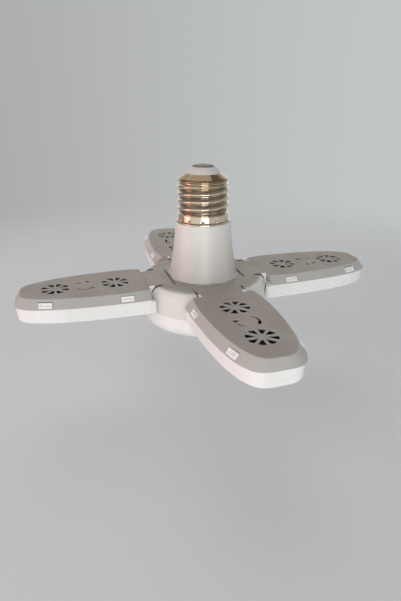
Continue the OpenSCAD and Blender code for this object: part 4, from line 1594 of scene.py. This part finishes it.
@dataclass
class InnerParts:
    """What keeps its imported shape: boards, chips, driver, screws, pins, washers and leads."""

    finishes: dict[str, Finish] = field(default_factory=lambda: {
        "plate": SpeckledStuff(
            "plate", srgb(176, 176, 174), 0.38, 1.0, speck=srgb(120, 118, 114),
            cloud_colour=srgb(150, 150, 148), relief=0.00001
        ),
        # The board's upper face is partly painted shade.
        "light_board": TwoFacedBoard(
            "light_board", srgb(226, 226, 222), 0.5, speck=srgb(196, 194, 186), speck_scale=1500,
            cloud_colour=srgb(210, 210, 204)
        ),
        "chip": LightChip(
            "chip", srgb(232, 230, 222), 0.45, speck_share=0.1, cloud_colour=srgb(216, 212, 200),
            pad_levels=(-0.0644, -0.07287)),
        "circuit_board": SpeckledStuff(
            "circuit_board", srgb(38, 92, 52), 0.35, speck=srgb(176, 160, 92), speck_scale=420,
            speck_share=0.6, cloud_colour=srgb(26, 70, 40)
        ),
        "capacitor": BandedStuff(
            "capacitor", srgb(28, 34, 62), 0.3, speck_share=0.1, cloud_colour=srgb(20, 24, 46),
            band_scale=24, band_low=0.85, band_high=0.9
        ),
        "transformer": BandedStuff(
            "transformer", srgb(182, 142, 40), 0.4, speck_share=0.15,
            cloud_colour=srgb(150, 112, 30), band=srgb(120, 66, 30), band_scale=900
        ),
        "screw": SpeckledStuff(
            "screw", srgb(168, 168, 166), 0.3, 1.0, speck=srgb(96, 94, 90), speck_share=0.3,
            cloud_colour=srgb(140, 140, 136), relief=0.00001
        ),
        "pin": SpeckledStuff(
            "pin", srgb(188, 186, 182), 0.24, 1.0, speck=srgb(110, 106, 100), speck_share=0.25,
            cloud_colour=srgb(160, 157, 150), relief=0.00001
        ),
        "washer": SpeckledStuff(
            "washer", srgb(58, 56, 54), 0.6, speck=srgb(96, 92, 86), speck_scale=2200,
            cloud_colour=srgb(44, 42, 40)
        ),
        "lead": SpeckledStuff(
            "lead", srgb(168, 44, 38), 0.38, speck_share=0.1, cloud_colour=srgb(140, 34, 30),
            relief=0.00001
        ),
    })
    nodes: dict[str, tuple[str, ...]] = field(default_factory=lambda: {
        "plate": ("base_plate",),
        "light_board": ("centre_board", "board_"),
        "chip": ("centre_chips", "chips_"),
        "circuit_board": ("driver_board",),
        "capacitor": ("driver_capacitor",),
        "transformer": ("driver_transformer",),
        "screw": ("hub_screws", "screws_"),
        "pin": ("hinge_pins",),
        "washer": ("friction_washers",),
        "lead": ("cap_leads", "hub_leads", "leads_"),
    })

    def build(self) -> None:
        """Gives each carried-over node its finish."""
        for slot, starts in self.nodes.items():
            material = self.finishes[slot].material()
            for name, thing in sorted(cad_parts.items()):
                if name.startswith(starts) and not thing.hide_render:
                    thing.data.materials.clear()
                    thing.data.materials.append(material)
                    LOG.info("%s: finish %s", name, slot)


# ---------- Studio ----------


@dataclass(frozen=True)
class SoftLamp:
    """A soft square lamp that looks at the leaves."""

    name: str
    azimuth: float
    elevation: float
    distance: float
    size: float
    power: float
    colour: tuple[float, float, float] = (1.0, 1.0, 1.0)

    def build(self, target: Vector) -> None:
        """Hangs the lamp.

        Args:
            target: What it looks at, in metres.
        """
        a, e = math.radians(self.azimuth), math.radians(self.elevation)
        arm = Vector((math.cos(a) * math.cos(e), math.sin(a) * math.cos(e), math.sin(e)))
        data = bpy.data.lights.new(self.name, "AREA")
        data.shape, data.size = "SQUARE", self.size
        data.energy, data.color = self.power, self.colour
        lamp = bpy.data.objects.new(self.name, data)
        lamp.location = target + arm * self.distance
        lamp.rotation_mode = "QUATERNION"
        lamp.rotation_quaternion = arm.to_track_quat("Z", "Y")
        lamp.visible_camera = False
        bpy.context.scene.collection.objects.link(lamp)


@dataclass
class Studio:
    """Pale floor that fades into the backdrop, soft lamps and the camera."""

    floor_z: float = -0.135
    radius: float = 0.9
    fade: tuple[float, float] = (0.26, 0.6)
    floor_colour: Colour = srgb(222, 225, 226)
    backdrop: Colour = srgb(166, 168, 167)
    backdrop_right: Colour = srgb(196, 199, 199)
    ceiling: Colour = srgb(138, 135, 131)
    air: float = 0.56
    eye: tuple[float, float, float] = (-0.07397, -0.229132, 0.03184)
    right: tuple[float, float, float] = (0.95324, -0.30221, -0.00061)
    up: tuple[float, float, float] = (0.1226, 0.38488, 0.91479)
    ahead: tuple[float, float, float] = (0.27621, 0.87209, -0.40394)
    focal: float = 28.067
    lamps: tuple[SoftLamp, ...] = (
        SoftLamp("key_left", -145, 12, 0.75, 1.3, 3.2, (1.0, 0.98, 0.96)),
        SoftLamp("front", -98, 2, 0.80, 0.45, 2.1),
        SoftLamp("right", -66, 0, 0.80, 1.00, 0.45, (0.98, 0.99, 1.0)),
        SoftLamp("back", 80, 22, 0.85, 1.20, 2.4, (1.0, 0.97, 0.93)),
        SoftLamp("far_left", 176, 5, 0.80, 0.40, 1.3, (1.0, 0.42, 0.4)),
        SoftLamp("above", 90, 72, 0.80, 0.60, 0.8),
    )

    def floor_piece(self) -> None:
        """The floor, which holds the lamp's shadow and clears towards its rim."""
        bm = bmesh.new()
        bmesh.ops.create_circle(
            bm, cap_ends=True, radius=self.radius, segments=96,
            matrix=Matrix.Translation((0, 0, self.floor_z))
        )
        for face in bm.faces:
            if face.normal.z < 0:
                face.normal_flip()
        mesh = bpy.data.meshes.new("studio_floor")
        bm.to_mesh(mesh)
        bm.free()
        made = bpy.data.materials.new("studio_paper")
        made.use_nodes = True
        bench = NodeBench(made.node_tree)
        shader = made.node_tree.nodes["Principled BSDF"]
        shader.inputs["Roughness"].default_value = 0.9
        shader.inputs["Specular IOR Level"].default_value = 0.1
        shader.inputs["Base Color"].default_value = self.floor_colour
        below = bench.lay("ShaderNodeNewGeometry").outputs["Backfacing"]
        cleared = bench.math("MAXIMUM", bench.spread(bench.from_axis(), *self.fade), below)
        clear = bench.lay("ShaderNodeBsdfTransparent")
        pick = bench.lay("ShaderNodeMixShader")
        bench.wire(cleared, pick.inputs[0])
        bench.wire(shader.outputs[0], pick.inputs[1])
        bench.wire(clear.outputs[0], pick.inputs[2])
        bench.wire(pick.outputs[0], made.node_tree.nodes["Material Output"].inputs["Surface"])
        mesh.materials.append(made)
        sheet = bpy.data.objects.new("studio_floor", mesh)
        bpy.context.scene.collection.objects.link(sheet)

    def world(self) -> None:
        """A dim even world, seen by eye, metal and glass as a grey wall under a darker ceiling."""
        made = bpy.data.worlds.new("studio_air")
        bpy.context.scene.world = made
        made.use_nodes = True
        bench = NodeBench(made.node_tree)
        for node in list(made.node_tree.nodes):
            made.node_tree.nodes.remove(node)
        dim, seen = bench.lay("ShaderNodeBackground"), bench.lay("ShaderNodeBackground")
        dim.inputs["Color"].default_value = srgb(204, 205, 207)
        dim.inputs["Strength"].default_value = self.air
        way = bench.lay("ShaderNodeSeparateXYZ")
        bench.wire(bench.lay("ShaderNodeTexCoord").outputs["Generated"], way.inputs[0])
        wall = bench.mix(
            bench.spread(way.outputs["X"], -0.4, 0.8), self.backdrop, self.backdrop_right
        )
        bench.wire(
            bench.mix(bench.spread(way.outputs["Z"], 0.22, 0.6), wall, self.ceiling),
            seen.inputs["Color"]
        )
        rays = bench.lay("ShaderNodeLightPath").outputs
        straight = bench.math("MAXIMUM", rays["Is Camera Ray"], rays["Is Glossy Ray"])
        looked_at = bench.math("MAXIMUM", straight, rays["Is Transmission Ray"])
        pick = bench.lay("ShaderNodeMixShader")
        bench.wire(looked_at, pick.inputs[0])
        bench.wire(dim.outputs[0], pick.inputs[1])
        bench.wire(seen.outputs[0], pick.inputs[2])
        bench.wire(pick.outputs[0], bench.lay("ShaderNodeOutputWorld").inputs["Surface"])

    def camera(self) -> None:
        """The camera at the photograph's place and angle."""
        data = bpy.data.cameras.new("camera")
        data.sensor_width, data.sensor_fit, data.lens = 36.0, "AUTO", self.focal
        data.clip_start, data.clip_end = 0.01, 20.0
        cam = bpy.data.objects.new("camera", data)
        axes = Matrix((self.right, self.up, tuple(-v for v in self.ahead))).transposed().to_4x4()
        cam.matrix_world = Matrix.Translation(self.eye) @ axes
        bpy.context.scene.collection.objects.link(cam)
        bpy.context.scene.camera = cam

    def build(self) -> None:
        """Makes the studio."""
        self.floor_piece()
        self.world()
        self.camera()
        for lamp in self.lamps:
            lamp.build(Vector((0, 0, -0.06)))
        bpy.context.scene.view_settings.view_transform = "Standard"


def main() -> None:
    """Builds the lamp and the studio in order."""
    logging.basicConfig(level=logging.INFO, format="%(name)s %(message)s")
    Studio().build()
    ScrewCap().build()
    Hub().build()
    Leaf().build()
    InnerParts().build()


if __name__ == "__main__":
    main()
